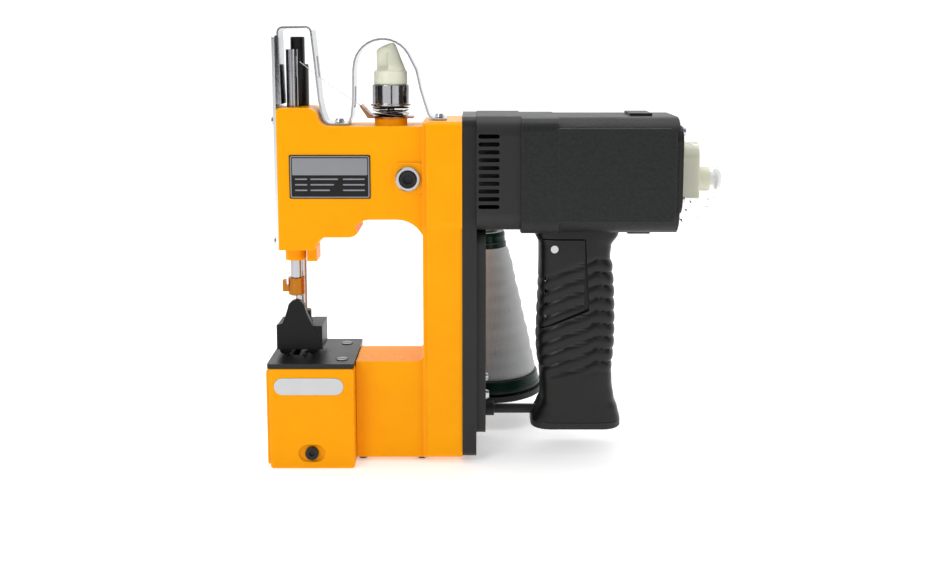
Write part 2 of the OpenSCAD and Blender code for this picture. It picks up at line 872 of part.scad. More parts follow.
// Pivot screw of the needle lever
module arm_screw() {
    color([0.6, 0.6, 0.62])
    difference() {
        union() {
            rod_y(-arm_half - 4.4, -arm_half - 1.45, pivot_x, pivot_z, 8.2);
            rod_y(-arm_half - 1.5, arm_half - 0.5, pivot_x, pivot_z, 5 - 0.005);
        }
        rod_y(-arm_half - 6, -arm_half - 1.8, pivot_x, pivot_z, 3, $fn = 6);
    }
}

// ---- needle drive --------------------------------------------------------------
module needle_bar() {
    color([0.82, 0.82, 0.84])
    union() {
        rod_z(107, 274.7, 0, 0, bar_r);
        // driving block with its stud
        rod_z(pivot_z - 8, pivot_z + 8, 0, 0, drive_block_r);
        rod_y(-11.4, 1, 0, pivot_z, 2);
    }
}

module needle_bar_bushes() {
    color([0.72, 0.55, 0.25])
        for (z = [[132.4, 157.9], [arm_top - 9.9, nose_top - 0.1]])
            difference() {
                rod_z(z[0], z[1], 0, 0, bush_r - 0.005);
                rod_z(z[0] - 1, z[1] + 1, 0, 0, bar_r + fit);
            }
}

// Needle clamp with its thread hook
module needle_clamp() {
    color([0.85, 0.35, 0.1])
    difference() {
        union() {
            rod_z(108, 119.7, 0, 0, 5.6);
            block(-8, -2.6, 110, 0, 2.6, 114);
            block(-9.2, -2.6, 110, -7, 2.6, 118);
        }
        rod_z(107, 121, 0, 0, bar_r + 0.005);
    }
}

module needle() {
    color([0.85, 0.85, 0.87])
    union() {
        rod_z(96, 106.95, 0, 0, 1.4);
        rod_z(71, 97, 0, 0, 0.85);
        translate([0, 0, 65])
            cylinder(h = 6.5, r1 = 0.15, r2 = 0.85);
    }
}

// Rocking lever: forked long arm to the needle bar, short arm into the column
module needle_lever() {
    color([0.55, 0.55, 0.57])
    translate([pivot_x, 0, pivot_z])
        difference() {
            union() {
                rod_y(-11, 10, 0, 0, 9);
                xz(-11, -8.2)
                    polygon([[-81.3, -5.5], [-60, -7], [0, -8.5], [0, 8.5], [-60, 7], [-81.3, 5.5]]);
                xz(-5.6, -3)
                    polygon([[0, -7], [short_arm, -4], [short_arm + 3.5, 0], [short_arm, 4], [0, 7]]);
            }
            rod_y(-12, 12, 0, 0, 5 + fit);
            // slot that takes the stud of the driving block
            xz(-12, -7)
                polygon([[-84.5, -2.6], [-75, -2.6], [-75, 2.6], [-84.5, 2.6]]);
            rod_y(-8, 0, short_arm, 0, 2);
        }
}

// Rod from the lower shaft's eccentric up to the lever. Its ring runs beside the eccentric.
module connecting_rod() {
    ring_y = shaft_y + throw;
    color([0.6, 0.6, 0.62])
    difference() {
        union() {
            yz(94, 96.4)
                polygon([[ring_y - 4, shaft_z + 11], [ring_y + 3, shaft_z + 11],
                         [-6.4, pivot_z - 4], [-6.4, pivot_z + 3], [-10, pivot_z + 3],
                         [-11, pivot_z - 6]]);
            rod_x(94, 96.4, ring_y, shaft_z, 12.3);
            rod_y(-9, -2.6, pivot_x + short_arm, pivot_z, 1.15);
        }
        rod_x(93, 97, ring_y, shaft_z, 9.8);
    }
}

module presser_bar() {
    color([0.8, 0.8, 0.82])
        rod_z(84, 262, presser_x, presser_y, presser_r);
}

// Black sleeve that holds the presser spring above the arm
module presser_sleeve() {
    color([0.11, 0.11, 0.115])
    difference() {
        union() {
            rod_z(nose_top + 0.05, 264.6, presser_x - 0.6, presser_y + 0.8, 7.4);
            rod_z(264, 283, presser_x - 0.3, presser_y + 0.3, 4.8);
        }
        rod_z(nose_top - 1, 275, presser_x, presser_y, presser_r + 0.6);
    }
}

module presser_spring() {
    color([0.7, 0.7, 0.72])
        coil_z(186, 212, presser_x, presser_y, 3.8, 0.45, 8);
}

// Hinged walking foot: sole, tall lobe in front and the block clamped to its bar
module presser_foot() {
    color([0.1, 0.1, 0.105])
    difference() {
        union() {
            xz(-11.5, -6.4)
                polygon(concat([[-12.5, 73.2], [19, 73.2], [14, 84], [8.4, 96]],
                    arc(1.2, 100, 6, 0, 180, 6), [[-6.4, 95], [-8.5, 90], [-12.5, 88.5]]));
            block(-12.5, -11, 71.5, 18.5, -4, 74.5);
            block(-12.5, 4, 71.5, 18.5, 15, 74.5);
            block(10, -11, 71.5, 18.5, 15, 88);
            block(-12.5, -11, 71.5, -6.5, 15, 88);
            rod_z(80, 94, presser_x, presser_y, 5.6);
            block(0, 6, 74, 18, 14.5, 88);
            for (x = [-9.5, 9.5])
                rod_y(-9, 13, x + 1.5, 70.9, 3.1);
        }
        rod_z(83.95, 100, presser_x, presser_y, presser_r + 0.005);
    }
}

module presser_lever() {
    color([0.12, 0.12, 0.13])
    union() {
        rod_y(arm_half - 5.5, arm_half + 0.5, lift_pivot[0], lift_pivot[1], 2.5 - fit);
        rod_y(arm_half + 0.4, arm_half + 4.5, lift_pivot[0], lift_pivot[1], 6);
        xz(arm_half + 1, arm_half + 4)
            polygon([[20, 166], [28, 174], [4, 192], [-1, 190], [-1, 186]]);
        rod_y(arm_half + 1, arm_half + 9, 2, 188, 4.5);
    }
}

// ---- shafts, belt and looper --------------------------------------------------------
module shaft_bearings() {
    color([0.75, 0.75, 0.78]) {
        for (x = [58, 80])
            difference() {
                rod_x(x, x + 7, shaft_y, shaft_z, 8.9);
                rod_x(x - 1, x + 8, shaft_y, shaft_z, 5 + fit);
            }
        difference() {
            rod_x(248.2, 254.8, motor_y, motor_z, 11);
            rod_x(247, 256, motor_y, motor_z, shaft_r + fit);
        }
        difference() {
            rod_x(111.5, 118, motor_y, motor_z, 11.95);
            rod_x(111, 119, motor_y, motor_z, shaft_r + fit);
        }
    }
}

// Toothed belt as a plain loop around both pulleys
module drive_belt() {
    color([0.09, 0.09, 0.09])
    difference() {
        yz(pulley_left + 1, pulley_right - 1)
            belt_outline(belt_t);
        yz(pulley_left, pulley_right)
            belt_outline(0.15);
    }
}

module belt_outline(extra) {
    lean = asin((large_pulley_r - small_pulley_r) / (motor_z - shaft_z));
    polygon(concat(
        arc(motor_y, motor_z, small_pulley_r + extra, lean, 180 - lean, 12),
        arc(shaft_y, shaft_z, large_pulley_r + extra, 180 - lean, 360 + lean, 20)));
}

module lower_shaft() {
    color([0.7, 0.7, 0.72])
    union() {
        rod_x(20, pulley_right + 1, shaft_y, shaft_z, 5);
        rod_x(pulley_left, pulley_right, shaft_y, shaft_z, large_pulley_r);
        rod_x(18, 26, shaft_y + 1.5, shaft_z, 8);
        rod_x(92.3, 93.7, shaft_y + throw, shaft_z, 8);
    }
}

module looper() {
    color([0.75, 0.75, 0.77])
    union() {
        rod_x(-11.5, 12, 20, 22, 4);
        yz(1.5, 4.9)
            polygon([[17, 22], [23, 22], [23, 46], [19, 52], [4, 54.5], [2, 53.2], [16, 48.5], [17.5, 40]]);
    }
}

module feed_dog() {
    color([0.65, 0.65, 0.67])
    union() {
        for (x = [-4.2, 5.4]) {
            block(x, -8, 57.5, x + 1.4, 8, box_top + 3.6);
            for (i = [0 : 7])
                yz(x, x + 1.4)
                    polygon([[-8 + 2 * i, box_top + 3.5], [-6.05 + 2 * i, box_top + 3.5],
                             [-7 + 2 * i, box_top + 4.6]]);
        }
        block(-4.2, -8, 55.6, 6.8, -4.5, 58);
    }
}

// ---- motor ---------------------------------------------------------------------
module rotor() {
    color([0.6, 0.6, 0.62])
    difference() {
        union() {
            rod_x(pulley_left - 1, 254, motor_y, motor_z, shaft_r);
            rod_x(pulley_left, pulley_right, motor_y, motor_z, small_pulley_r);
            // armature and commutator
            rod_x(172, 220, motor_y, motor_z, 19.5);
            rod_x(228, 242, motor_y, motor_z, 11);
            // fan hub and blades
            rod_x(140, 150, motor_y, motor_z, 10);
            for (i = [0 : 7])
                translate([0, motor_y, motor_z])
                    rotate([45 * i, 0, 0])
                        block(140.5, -0.8, 9, 149.5, 0.8, 31);
        }
        for (i = [0 : 11])
            translate([0, motor_y, motor_z])
                rotate([30 * i, 0, 0])
                    block(171, -1.1, 15, 221, 1.1, 22);
    }
}

module stator() {
    color([0.45, 0.32, 0.2])
    difference() {
        yz(174, 218)
            polygon(rounded(motor_y - 34.45, motor_z - 29.7, motor_y + 34.45, motor_z + 29.7, 10));
        rod_x(173, 219, motor_y, motor_z, 20.5);
    }
}

module brush_holders() {
    color([0.7, 0.55, 0.25])
        for (side = [-1, 1])
            difference() {
                xz(motor_y + side * 23 - 11.4, motor_y + side * 23 + 11.4)
                    polygon([[231, 190], [239, 190], [239, 198], [231, 198]]);
                xz(motor_y + side * 23 - 8.4, motor_y + side * 23 + 8.4)
                    polygon([[233, 192], [237, 192], [237, 196], [233, 196]]);
            }
}

// ---- oiler ------------------------------------------------------------------------
module oil_reservoir() {
    color([0.93, 0.9, 0.76])
    difference() {
        union() {
            reservoir_tank(259.25, 274.4, 0);
            rod_x(274, 282.6, motor_y, pump_z, 8.4);
        }
        reservoir_tank(262, 271.9, 2.5);
        rod_x(270, 284, motor_y, pump_z, pump_r);
    }
}

// Tank with a domed top, drawn in by an inset
module reservoir_tank(x0, x1, inset) {
    yz(x0, x1)
        polygon(concat([[motor_y - 11 + inset, 174.5 + inset], [motor_y + 11 - inset, 174.5 + inset]],
                       arc(motor_y, 201, 11 - inset, 0, 180, 10)));
}

module oil_button() {
    color([0.95, 0.95, 0.95])
    union() {
        rod_x(276.6, 287.2, motor_y, pump_z, pump_r - fit);
        rod_x(287, 290, motor_y, pump_z, 7.4);
    }
}

// Shelf of the clear guard: it slopes up from x0, z0 and turns up at its rounded end
module guard_shelf(x0, z0, length) {
    bend = 6;
    slope = 15;
    bend_x = x0 + length * cos(slope) - bend * sin(slope);
    bend_z = z0 + length * sin(slope) + bend * cos(slope);
    xz(motor_y - 15.5, motor_y + 15.5)
        polygon(concat([[x0, z0]],
            arc(bend_x, bend_z, bend + 0.8, slope - 90, 0, 5),
            arc(bend_x, bend_z, bend - 0.8, 0, slope - 90, 5),
            [[x0, z0 + 1.6]]));
}

// Clear guard around the oiler: two side plates with round lobes and three sloping shelves
module pump_guard() {
    color([0.9, 0.95, 0.97, 0.35])
    union() {
        for (side = [-1, 1])
            xz(motor_y + side * 16 - 0.9, motor_y + side * 16 + 0.9)
                polygon(concat([[259.3, 158.6]], arc(270, 164.5, 6.5, -90, -15, 4),
                    arc(280.5, 178, 5, -20, 20, 3), arc(278.3, 201, 5.7, -20, 60, 4),
                    arc(267, 218, 6, 10, 90, 4), [[259.3, 224]]));
        for (p = guard_lobes)
            rod_y(motor_y - 18.5, motor_y - 15.5, p[0], p[1], 4.7);
        guard_shelf(262, 158.4, 15);
        guard_shelf(265, 164.6, 21);
        guard_shelf(265, 168, 24);
    }
}

translate([0, 0, box_drop]) {
    frame_casting();
    column_housing();
    belt_case();
    motor_front_casing();
    motor_housing();
    rear_cover();
    pan_head_screws();
    looper_box();
    looper_cover();
    looper_cover_screw();
    side_cover();
    throat_plate();
    throat_plate_screws();
    base_screws();
    grip_front_half();
    grip_back_half();
    grip_base_cap();
    cord_gland();
    trigger();
    trigger_pin();
    trigger_spring();
    trigger_switch();
    stay_bar();
    cone_tray();
    cone_spindle();
    cone_core();
    thread_winding();
    face_plate();
    guard_strip();
    tension_post();
    tension_discs();
    thread_guide();
    tension_cup();
    tension_spring();
    tension_knob();
    nameplate();
    serial_label();
    arm_screw();
    needle_bar();
    needle_bar_bushes();
    needle_clamp();
    needle();
    needle_lever();
    connecting_rod();
    presser_bar();
    presser_sleeve();
    presser_spring();
    presser_foot();
    presser_lever();
    shaft_bearings();
    drive_belt();
    lower_shaft();
    looper();
    feed_dog();
    rotor();
    stator();
    brush_holders();
    oil_reservoir();
    pump_guard();
    oil_button();
}
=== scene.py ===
"""Looks of a hand-held bag closer sewing machine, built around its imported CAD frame. Metres, +Z up."""
import json
import math

import bmesh
import bpy
from mathutils import Matrix, Vector


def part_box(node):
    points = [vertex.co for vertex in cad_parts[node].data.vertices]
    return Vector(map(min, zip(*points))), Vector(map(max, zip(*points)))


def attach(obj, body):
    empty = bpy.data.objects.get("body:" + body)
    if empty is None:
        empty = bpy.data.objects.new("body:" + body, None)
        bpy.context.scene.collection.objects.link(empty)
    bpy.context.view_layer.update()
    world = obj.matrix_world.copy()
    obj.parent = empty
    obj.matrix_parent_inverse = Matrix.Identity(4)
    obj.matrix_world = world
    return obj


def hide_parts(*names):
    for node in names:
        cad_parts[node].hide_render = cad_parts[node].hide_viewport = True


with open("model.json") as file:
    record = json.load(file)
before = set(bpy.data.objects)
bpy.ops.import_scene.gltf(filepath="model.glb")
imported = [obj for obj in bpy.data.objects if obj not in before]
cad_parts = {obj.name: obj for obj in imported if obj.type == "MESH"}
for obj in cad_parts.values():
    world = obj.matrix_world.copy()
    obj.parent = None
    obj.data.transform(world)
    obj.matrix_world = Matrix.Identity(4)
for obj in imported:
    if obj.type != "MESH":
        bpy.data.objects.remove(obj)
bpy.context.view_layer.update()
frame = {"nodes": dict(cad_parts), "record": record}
NODES = frame["nodes"]
MM = 0.001


# ---- node material helpers -----------------------------------------------------
class Mat:
    """A node material under construction, with short calls for the usual node chains."""

    def __init__(self, name):
        self.mat = bpy.data.materials.new(name)
        self.mat.use_nodes = True
        self.nodes = self.mat.node_tree.nodes
        self.links = self.mat.node_tree.links
        self.bsdf = self.nodes["Principled BSDF"]
        self.coord = self.nodes.new("ShaderNodeTexCoord")

    def node(self, kind, **values):
        """Adds a node; keys with an index such as i0 set inputs, the rest set properties."""
        made = self.nodes.new(kind)
        for key, value in values.items():
            if key[0] == "i" and key[1:].isdigit():
                self.feed(made.inputs[int(key[1:])], value)
            else:
                setattr(made, key, value)
        return made

    def feed(self, socket, value):
        if isinstance(value, bpy.types.NodeSocket):
            self.links.new(value, socket)
        else:
            socket.default_value = value

    def set(self, name, value):
        self.feed(self.bsdf.inputs[name], value)

    def place(self, scale=(1, 1, 1), turn=(0, 0, 0), uv=False):
        source = self.coord.outputs["UV" if uv else "Object"]
        made = self.node("ShaderNodeMapping", i0=source, i2=turn, i3=scale)
        return made.outputs[0]

    def noise(self, scale, detail=3.0, rough=0.55, stretch=(1, 1, 1), distort=0.0, uv=False):
        made = self.node("ShaderNodeTexNoise")
        self.feed(made.inputs["Vector"], self.place(stretch, uv=uv))
        made.inputs["Scale"].default_value = scale
        made.inputs["Detail"].default_value = detail
        made.inputs["Roughness"].default_value = rough
        made.inputs["Distortion"].default_value = distort
        return made.outputs["Fac"]

    def cells(self, scale, feature="F1"):
        made = self.node("ShaderNodeTexVoronoi", feature=feature)
        self.feed(made.inputs["Vector"], self.place())
        made.inputs["Scale"].default_value = scale
        return made.outputs["Distance"]

    def waves(self, scale, direction="X", stretch=(1, 1, 1), turn=(0, 0, 0), distort=0.0, uv=False):
        made = self.node("ShaderNodeTexWave", bands_direction=direction)
        self.feed(made.inputs["Vector"], self.place(stretch, turn, uv))
        made.inputs["Scale"].default_value = scale
        made.inputs["Distortion"].default_value = distort
        return made.outputs["Fac"]

    def span(self, fac, low, high, start=0.0, end=1.0):
        """Maps a factor between two values."""
        made = self.node("ShaderNodeMapRange", i0=fac, i1=start, i2=end, i3=low, i4=high)
        return made.outputs[0]

    def mix(self, fac, one, two, mode="MIX"):
        made = self.node("ShaderNodeMix", data_type="RGBA", blend_type=mode)
        self.feed(made.inputs[0], fac)
        self.feed(made.inputs[6], one)
        self.feed(made.inputs[7], two)
        return made.outputs[2]

    def math(self, how, one, two=0.0):
        return self.node("ShaderNodeMath", operation=how, i0=one, i1=two).outputs[0]

    def bump(self, height, strength, distance, under=None):
        made = self.node("ShaderNodeBump")
        self.feed(made.inputs["Height"], height)
        made.inputs["Strength"].default_value = strength
        made.inputs["Distance"].default_value = distance
        if under is not None:
            self.feed(made.inputs["Normal"], under)
        return made.outputs[0]

    def edge_highlight_mask(self, radius):
        """1 on flat faces, lower on sharp edges: the bevelled normal against the true one. It masks a painted
        highlight along the edges.
        """
        soft = self.node("ShaderNodeBevel", samples=4)
        soft.inputs["Radius"].default_value = radius
        true = self.node("ShaderNodeNewGeometry").outputs["True Normal"]
        dot = self.node("ShaderNodeVectorMath", operation="DOT_PRODUCT", i0=soft.outputs[0], i1=true)
        return dot.outputs["Value"]


def rgb(r, g, b):
    return (r, g, b, 1.0)


def enamel(name, colour, deep, rough=0.27):
    """Sprayed enamel over a casting: orange-peel skin, slight colour drift, and a painted highlight that makes the
    edges paler.
    """
    m = Mat(name)
    drift = m.noise(28.0, 4.0)
    tone = m.mix(m.span(drift, 0.0, 1.0, 0.3, 0.7), rgb(*deep), rgb(*colour))
    # Edges turn paler orange: a painted highlight along the edges.
    edge = m.span(m.edge_highlight_mask(0.0011), 0.55, 0.0, 0.86, 0.99)
    highlight_colour = tuple(min(1.0, c * 1.25 + 0.05) for c in colour)
    m.set("Base Color", m.mix(edge, tone, rgb(*highlight_colour)))
    m.set("Roughness", m.span(m.noise(95.0), rough - 0.05, rough + 0.08))
    m.set("Coat Weight", 0.02)
    m.set("Coat Roughness", 0.12)
    m.bsdf.inputs["Specular IOR Level"].default_value = 0.06
    peel = m.bump(m.noise(420.0, 2.0), 0.10, 0.0004)
    m.set("Normal", m.bump(m.noise(30.0, 2.0), 0.12, 0.0012, peel))
    return m.mat


def moulded(name, colour, rough=0.5, grain=900.0, depth=0.25, fleck=0.0, shine=0.3):
    """Moulded plastic with a fine grain, faint mould flow and a painted highlight that makes the edges paler."""
    m = Mat(name)
    m.bsdf.inputs["Specular IOR Level"].default_value = shine
    flow = m.noise(22.0, 3.0, stretch=(0.4, 1, 1))
    low = tuple(c * 0.78 for c in colour)
    tone = m.mix(flow, rgb(*low), rgb(*colour))
    # Paler edges: a painted highlight along the edges.
    highlight_colour = tuple(c * 1.6 + 0.018 for c in colour)
    tone = m.mix(m.span(m.edge_highlight_mask(0.0009), 0.5, 0.0, 0.86, 0.99), tone, rgb(*highlight_colour))
    if fleck:
        spots = m.span(m.noise(grain * 1.4, 1.0), 0.0, fleck, 0.62, 0.74)
        tone = m.mix(spots, tone, rgb(0.3, 0.3, 0.3))
    m.set("Base Color", tone)
    m.set("Roughness", m.span(m.noise(60.0), rough - 0.07, rough + 0.09))
    m.set("Normal", m.bump(m.noise(grain, 2.0, 0.6), depth, 0.0003))
    return m.mat


def leathery(name, colour):
    """Black housing with a leather-like moulded grain."""
    m = Mat(name)
    m.bsdf.inputs["Specular IOR Level"].default_value = 0.3
    cell = m.cells(560.0, "SMOOTH_F1")
    fine = m.noise(1300.0, 2.0)
    low = tuple(c * 0.6 for c in colour)
    tone = m.mix(m.span(cell, 0.0, 1.0, 0.1, 0.8), rgb(*colour), rgb(*low))
    # Paler edges: a painted highlight along the edges.
    highlight_colour = tuple(c * 1.6 + 0.02 for c in colour)
    tone = m.mix(m.span(m.edge_highlight_mask(0.0012), 0.6, 0.0, 0.86, 0.99), tone, rgb(*highlight_colour))
    m.set("Base Color", tone)
    m.set("Roughness", m.span(m.noise(45.0), 0.40, 0.56))
    m.set("Normal", m.bump(cell, 0.35, 0.0004, m.bump(fine, 0.2, 0.0002)))
    return m.mat


def steel(name, colour=(0.78, 0.78, 0.8), rough=0.16, lines=None, tint=0.1, stretch=(1, 1, 1)):
    """Metal with fine machining lines or an even polish, and a faint smudge."""
    m = Mat(name)
    smudge = m.noise(38.0, 4.0)
    low = tuple(c * (1 - tint) for c in colour)
    m.set("Base Color", m.mix(smudge, rgb(*low), rgb(*colour)))
    m.set("Metallic", 1.0)
    m.set("Roughness", m.span(m.noise(110.0, 4.0, stretch=stretch), rough - 0.05, rough + 0.1))
    if lines:
        streak = m.noise(lines, 2.0, stretch=stretch)
        m.set("Normal", m.bump(streak, 0.12, 0.0002))
    else:
        m.set("Normal", m.bump(m.noise(260.0, 2.0), 0.03, 0.0003))
    return m.mat


def milky(name, colour, rough=0.35, through=0.35):
    """Translucent plastic that light passes into."""
    m = Mat(name)
    cloud = m.noise(45.0, 3.0)
    low = tuple(c * 0.88 for c in colour)
    m.set("Base Color", m.mix(cloud, rgb(*low), rgb(*colour)))
    m.set("Subsurface Weight", through)
    m.set("Subsurface Radius", (0.006, 0.006, 0.004))
    m.set("Subsurface Scale", 0.6)
    m.set("Roughness", m.span(m.noise(80.0), rough - 0.06, rough + 0.08))
    m.set("Normal", m.bump(m.noise(300.0, 2.0), 0.06, 0.0003))
    return m.mat


def clear(name):
    """Clear moulded plastic, seen mainly by its edges."""
    m = Mat(name)
    m.set("Base Color", m.mix(m.noise(20.0), rgb(0.95, 0.96, 0.965), rgb(0.99, 0.99, 0.99)))
    m.set("Transmission Weight", 1.0)
    m.set("IOR", 1.14)
    m.set("Roughness", m.span(m.noise(70.0), 0.0, 0.03))
    m.set("Normal", m.bump(m.noise(60.0, 2.0), 0.01, 0.0001))
    return m.mat


def thread_wound(name):
    """Cross-wound sewing thread: two sets of fine slanting strands over the cone, with painted shade in the gaps
    between them.
    """
    m = Mat(name)
    right = m.waves(46.0, "Y", turn=(0, 0, 0.42), distort=0.5, uv=True)
    left = m.waves(46.0, "Y", turn=(0, 0, -0.42), distort=0.5, uv=True)
    bands = m.noise(7.0, 2.0, stretch=(0.2, 6.0, 1), uv=True)
    strand = m.math("MAXIMUM", right, m.math("MULTIPLY", left, 0.75))
    # Gaps between strands are darker than the thread: painted shade in the grooves of the winding.
    shade = m.mix(m.span(strand, 0.0, 1.0, 0.2, 0.9), rgb(0.40, 0.40, 0.40), rgb(0.74, 0.75, 0.76))
    m.set("Base Color", m.mix(m.span(bands, 0.0, 0.35), shade, rgb(0.5, 0.5, 0.5)))
    m.set("Roughness", 0.62)
    m.set("Sheen Weight", 0.3)
    m.set("Normal", m.bump(strand, 0.7, 0.0006))
    return m.mat


ORANGE = (0.96, 0.382, 0.001)
MATERIALS = {
    "orange_paint": enamel("orange_paint", ORANGE, (0.91, 0.345, 0.001)),
    "black_casting": moulded("black_casting", (0.017, 0.017, 0.018), 0.42, 700.0, 0.15),
    "black_plastic": moulded("black_plastic", (0.019, 0.019, 0.020), 0.48, 900.0, 0.2),
    "black_textured": leathery("black_textured", (0.012, 0.013, 0.013)),
    "screw_steel": steel("screw_steel", (0.62, 0.62, 0.64), 0.24),
    "black_oxide": moulded("black_oxide", (0.012, 0.012, 0.013), 0.36, 1200.0, 0.1),
    "dark_screw": steel("dark_screw", (0.22, 0.22, 0.23), 0.3),
    "grip_rubber": moulded("grip_rubber", (0.007, 0.0075, 0.0075), 0.36, 1500.0, 0.12),
    "grip_rubber_trigger": moulded("grip_rubber_trigger", (0.0075, 0.008, 0.008), 0.36, 1500.0, 0.12),
    "rubber_black": moulded("rubber_black", (0.012, 0.012, 0.012), 0.62, 1100.0, 0.2),
    "bright_steel": steel("bright_steel", (0.52, 0.52, 0.54), 0.16),
    "spring_steel": steel("spring_steel", (0.5, 0.5, 0.52), 0.28),
    "grey_plastic": moulded("grey_plastic", (0.08, 0.08, 0.085), 0.5),
    "tray_plastic": moulded("tray_plastic", (0.016, 0.016, 0.017), 0.5),
    "spindle_steel": steel("spindle_steel", (0.6, 0.6, 0.62), 0.22),
    "green_plastic": moulded("green_plastic", (0.002, 0.021, 0.012), 0.28, 500.0, 0.06, 0.0, 0.2),
    "thread_white": thread_wound("thread_white"),
    "polished_steel": steel("polished_steel", (0.72, 0.73, 0.75), 0.14, 900.0, 0.1, (1, 1, 0.06)),
    "polished_strip": steel("polished_strip", (0.46, 0.47, 0.49), 0.12, 900.0, 0.15, (1, 0.06, 1)),
    "threaded_steel": steel("threaded_steel", (0.5, 0.5, 0.52), 0.3),
    "disc_steel": steel("disc_steel", (0.42, 0.40, 0.38), 0.2),
    "copper": steel("copper", (0.42, 0.20, 0.10), 0.28),
    "chrome_cup": steel("chrome_cup", (0.46, 0.46, 0.48), 0.08),
    "ivory_plastic": milky("ivory_plastic", (0.80, 0.81, 0.66)),
    "nameplate_metal": moulded("nameplate_metal", (0.004, 0.0035, 0.0035), 0.34, 1500.0, 0.05),
    "label_silver": steel("label_silver", (0.54, 0.555, 0.57), 0.38, 1500.0, 0.06, (1, 1, 0.05)),
    "bar_chrome": steel("bar_chrome", (0.44, 0.44, 0.46), 0.10),
    "bronze": steel("bronze", (0.45, 0.28, 0.11), 0.32),
    "clamp_orange": steel("clamp_orange", (0.46, 0.17, 0.02), 0.32),
    "needle_steel": steel("needle_steel", (0.82, 0.82, 0.84), 0.08),
    "forged_steel": steel("forged_steel", (0.24, 0.24, 0.25), 0.42),
    "sleeve_black": moulded("sleeve_black", (0.014, 0.014, 0.015), 0.3, 900.0, 0.05),
    "foot_black": moulded("foot_black", (0.006, 0.006, 0.0065), 0.36, 1100.0, 0.10, 0.0, 0.2),
    "lever_black": moulded("lever_black", (0.018, 0.018, 0.019), 0.36),
    "bearing_steel": steel("bearing_steel", (0.6, 0.6, 0.62), 0.2),
    "belt_rubber": moulded("belt_rubber", (0.014, 0.014, 0.014), 0.7),
    "shaft_steel": steel("shaft_steel", (0.5, 0.5, 0.52), 0.25),
    "looper_steel": steel("looper_steel", (0.6, 0.6, 0.62), 0.15),
    "feed_steel": steel("feed_steel", (0.45, 0.45, 0.47), 0.3),
    "rotor_steel": steel("rotor_steel", (0.32, 0.28, 0.24), 0.4),
    "stator_steel": steel("stator_steel", (0.26, 0.26, 0.28), 0.42),
    "brass_holder": steel("brass_holder", (0.58, 0.40, 0.14), 0.28),
    "reservoir_ivory": milky("reservoir_ivory", (0.82, 0.81, 0.66), 0.3, 0.45),
    "clear_plastic": clear("clear_plastic"),
    "button_white": milky("button_white", (0.86, 0.87, 0.87), 0.25, 0.25),
    "plate_silver": steel("plate_silver", (0.30, 0.31, 0.33), 0.36, 1500.0, 0.06, (1, 1, 0.05)),
    "thread_strand": moulded("thread_strand", (0.78, 0.78, 0.78), 0.6, 3000.0, 0.3),
}
SLOT_OF = {s["node"]: s["material_slot"] for s in frame["record"]["subparts"]}
BODY_OF = {n: b for b, ns in frame["record"]["behaviour"]["bodies"].items() for n in ns}

for node_name, node_object in NODES.items():
    finish_of_node = MATERIALS[SLOT_OF[node_name]]
    for material_slot in node_object.material_slots:
        material_slot.material = finish_of_node


# ---- mesh helpers ------------------------------------------------------------------
def mesh_object(name, verts, faces):
    """A linked object whose faces all look outwards."""
    mesh = bpy.data.meshes.new(name)
    mesh.from_pydata([tuple(v) for v in verts], [], [tuple(f) for f in faces])
    bm = bmesh.new()
    bm.from_mesh(mesh)
    bmesh.ops.recalc_face_normals(bm, faces=bm.faces)
    bm.to_mesh(mesh)
    bm.free()
    made = bpy.data.objects.new(name, mesh)
    bpy.context.scene.collection.objects.link(made)
    return made


def softened(mesh, sharp):
    """Smooth shading, with edges kept crisp above an angle in degrees."""
    mesh.shade_smooth()
    mesh.set_sharp_from_angle(angle=math.radians(sharp))


def new_piece(name, verts, faces, material, body, smooth=True, sharp=35.0):
    """A mesh object made from vertices and faces, riding on a body."""
    made = mesh_object(name, verts, faces)
    made.data.materials.append(MATERIALS[material])
    if smooth:
        softened(made.data, sharp)
    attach(made, body)
    return made


def baked(piece):
    """Applies every modifier of a piece to its mesh."""
    bpy.context.view_layer.update()
    shown = piece.evaluated_get(bpy.context.evaluated_depsgraph_get())
    mesh = bpy.data.meshes.new_from_object(shown)
    piece.modifiers.clear()
    piece.data = mesh
    return piece


def cleaned(source):
    """Vertices and faces of a CAD mesh with its seams welded and flat facets joined."""
    bm = bmesh.new()
    bm.from_mesh(source.data)
    bmesh.ops.remove_doubles(bm, verts=bm.verts, dist=2e-6)
    bmesh.ops.dissolve_limit(bm, angle_limit=0.012, verts=bm.verts, edges=bm.edges)
    verts = [v.co.copy() for v in bm.verts]
    faces = [[v.index for v in f.verts] for f in bm.faces]
    bm.free()
    return verts, faces


def dressed(node, width, segments=3, angle=32.0):
    """Stands for a CAD node with the same shape and rounded edges."""
    verts, faces = cleaned(NODES[node])
    piece = new_piece(node + "_shell", verts, faces, SLOT_OF[node], BODY_OF[node])
    bevel = piece.modifiers.new("edge", "BEVEL")
    bevel.width = width
    bevel.segments = segments
    bevel.limit_method = "ANGLE"
    bevel.angle_limit = math.radians(angle)
    bevel.use_clamp_overlap = True
    normals = piece.modifiers.new("normals", "WEIGHTED_NORMAL")
    normals.keep_sharp = True
    baked(piece)
    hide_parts(node)
    return piece


def lathe(profile, steps=96, wave=None):
    """Vertices and faces of a profile of (radius, height) turned round Z; wave alters the height."""
    verts = []
    faces = []
    rows = len(profile)
    for i in range(steps):
        a = 2 * math.pi * i / steps
        for r, z in profile:
            lift = wave(a, r) if wave else 0.0
            verts.append(Vector((r * math.cos(a), r * math.sin(a), z + lift)))
    for i in range(steps):
        j = (i + 1) % steps
        for k in range(rows - 1):
            faces.append((i * rows + k, j * rows + k, j * rows + k + 1, i * rows + k + 1))
    return verts, faces


def turned(profile, steps=96, wave=None):
    """A lathe body from a profile in millimetres."""
    return lathe([(r * MM, z * MM) for r, z in profile], steps, wave)


def at(place, axis, degrees):
    """Matrix that turns about an axis and then moves to a place."""
    return Matrix.Translation(place) @ Matrix.Rotation(math.radians(degrees), 4, axis)


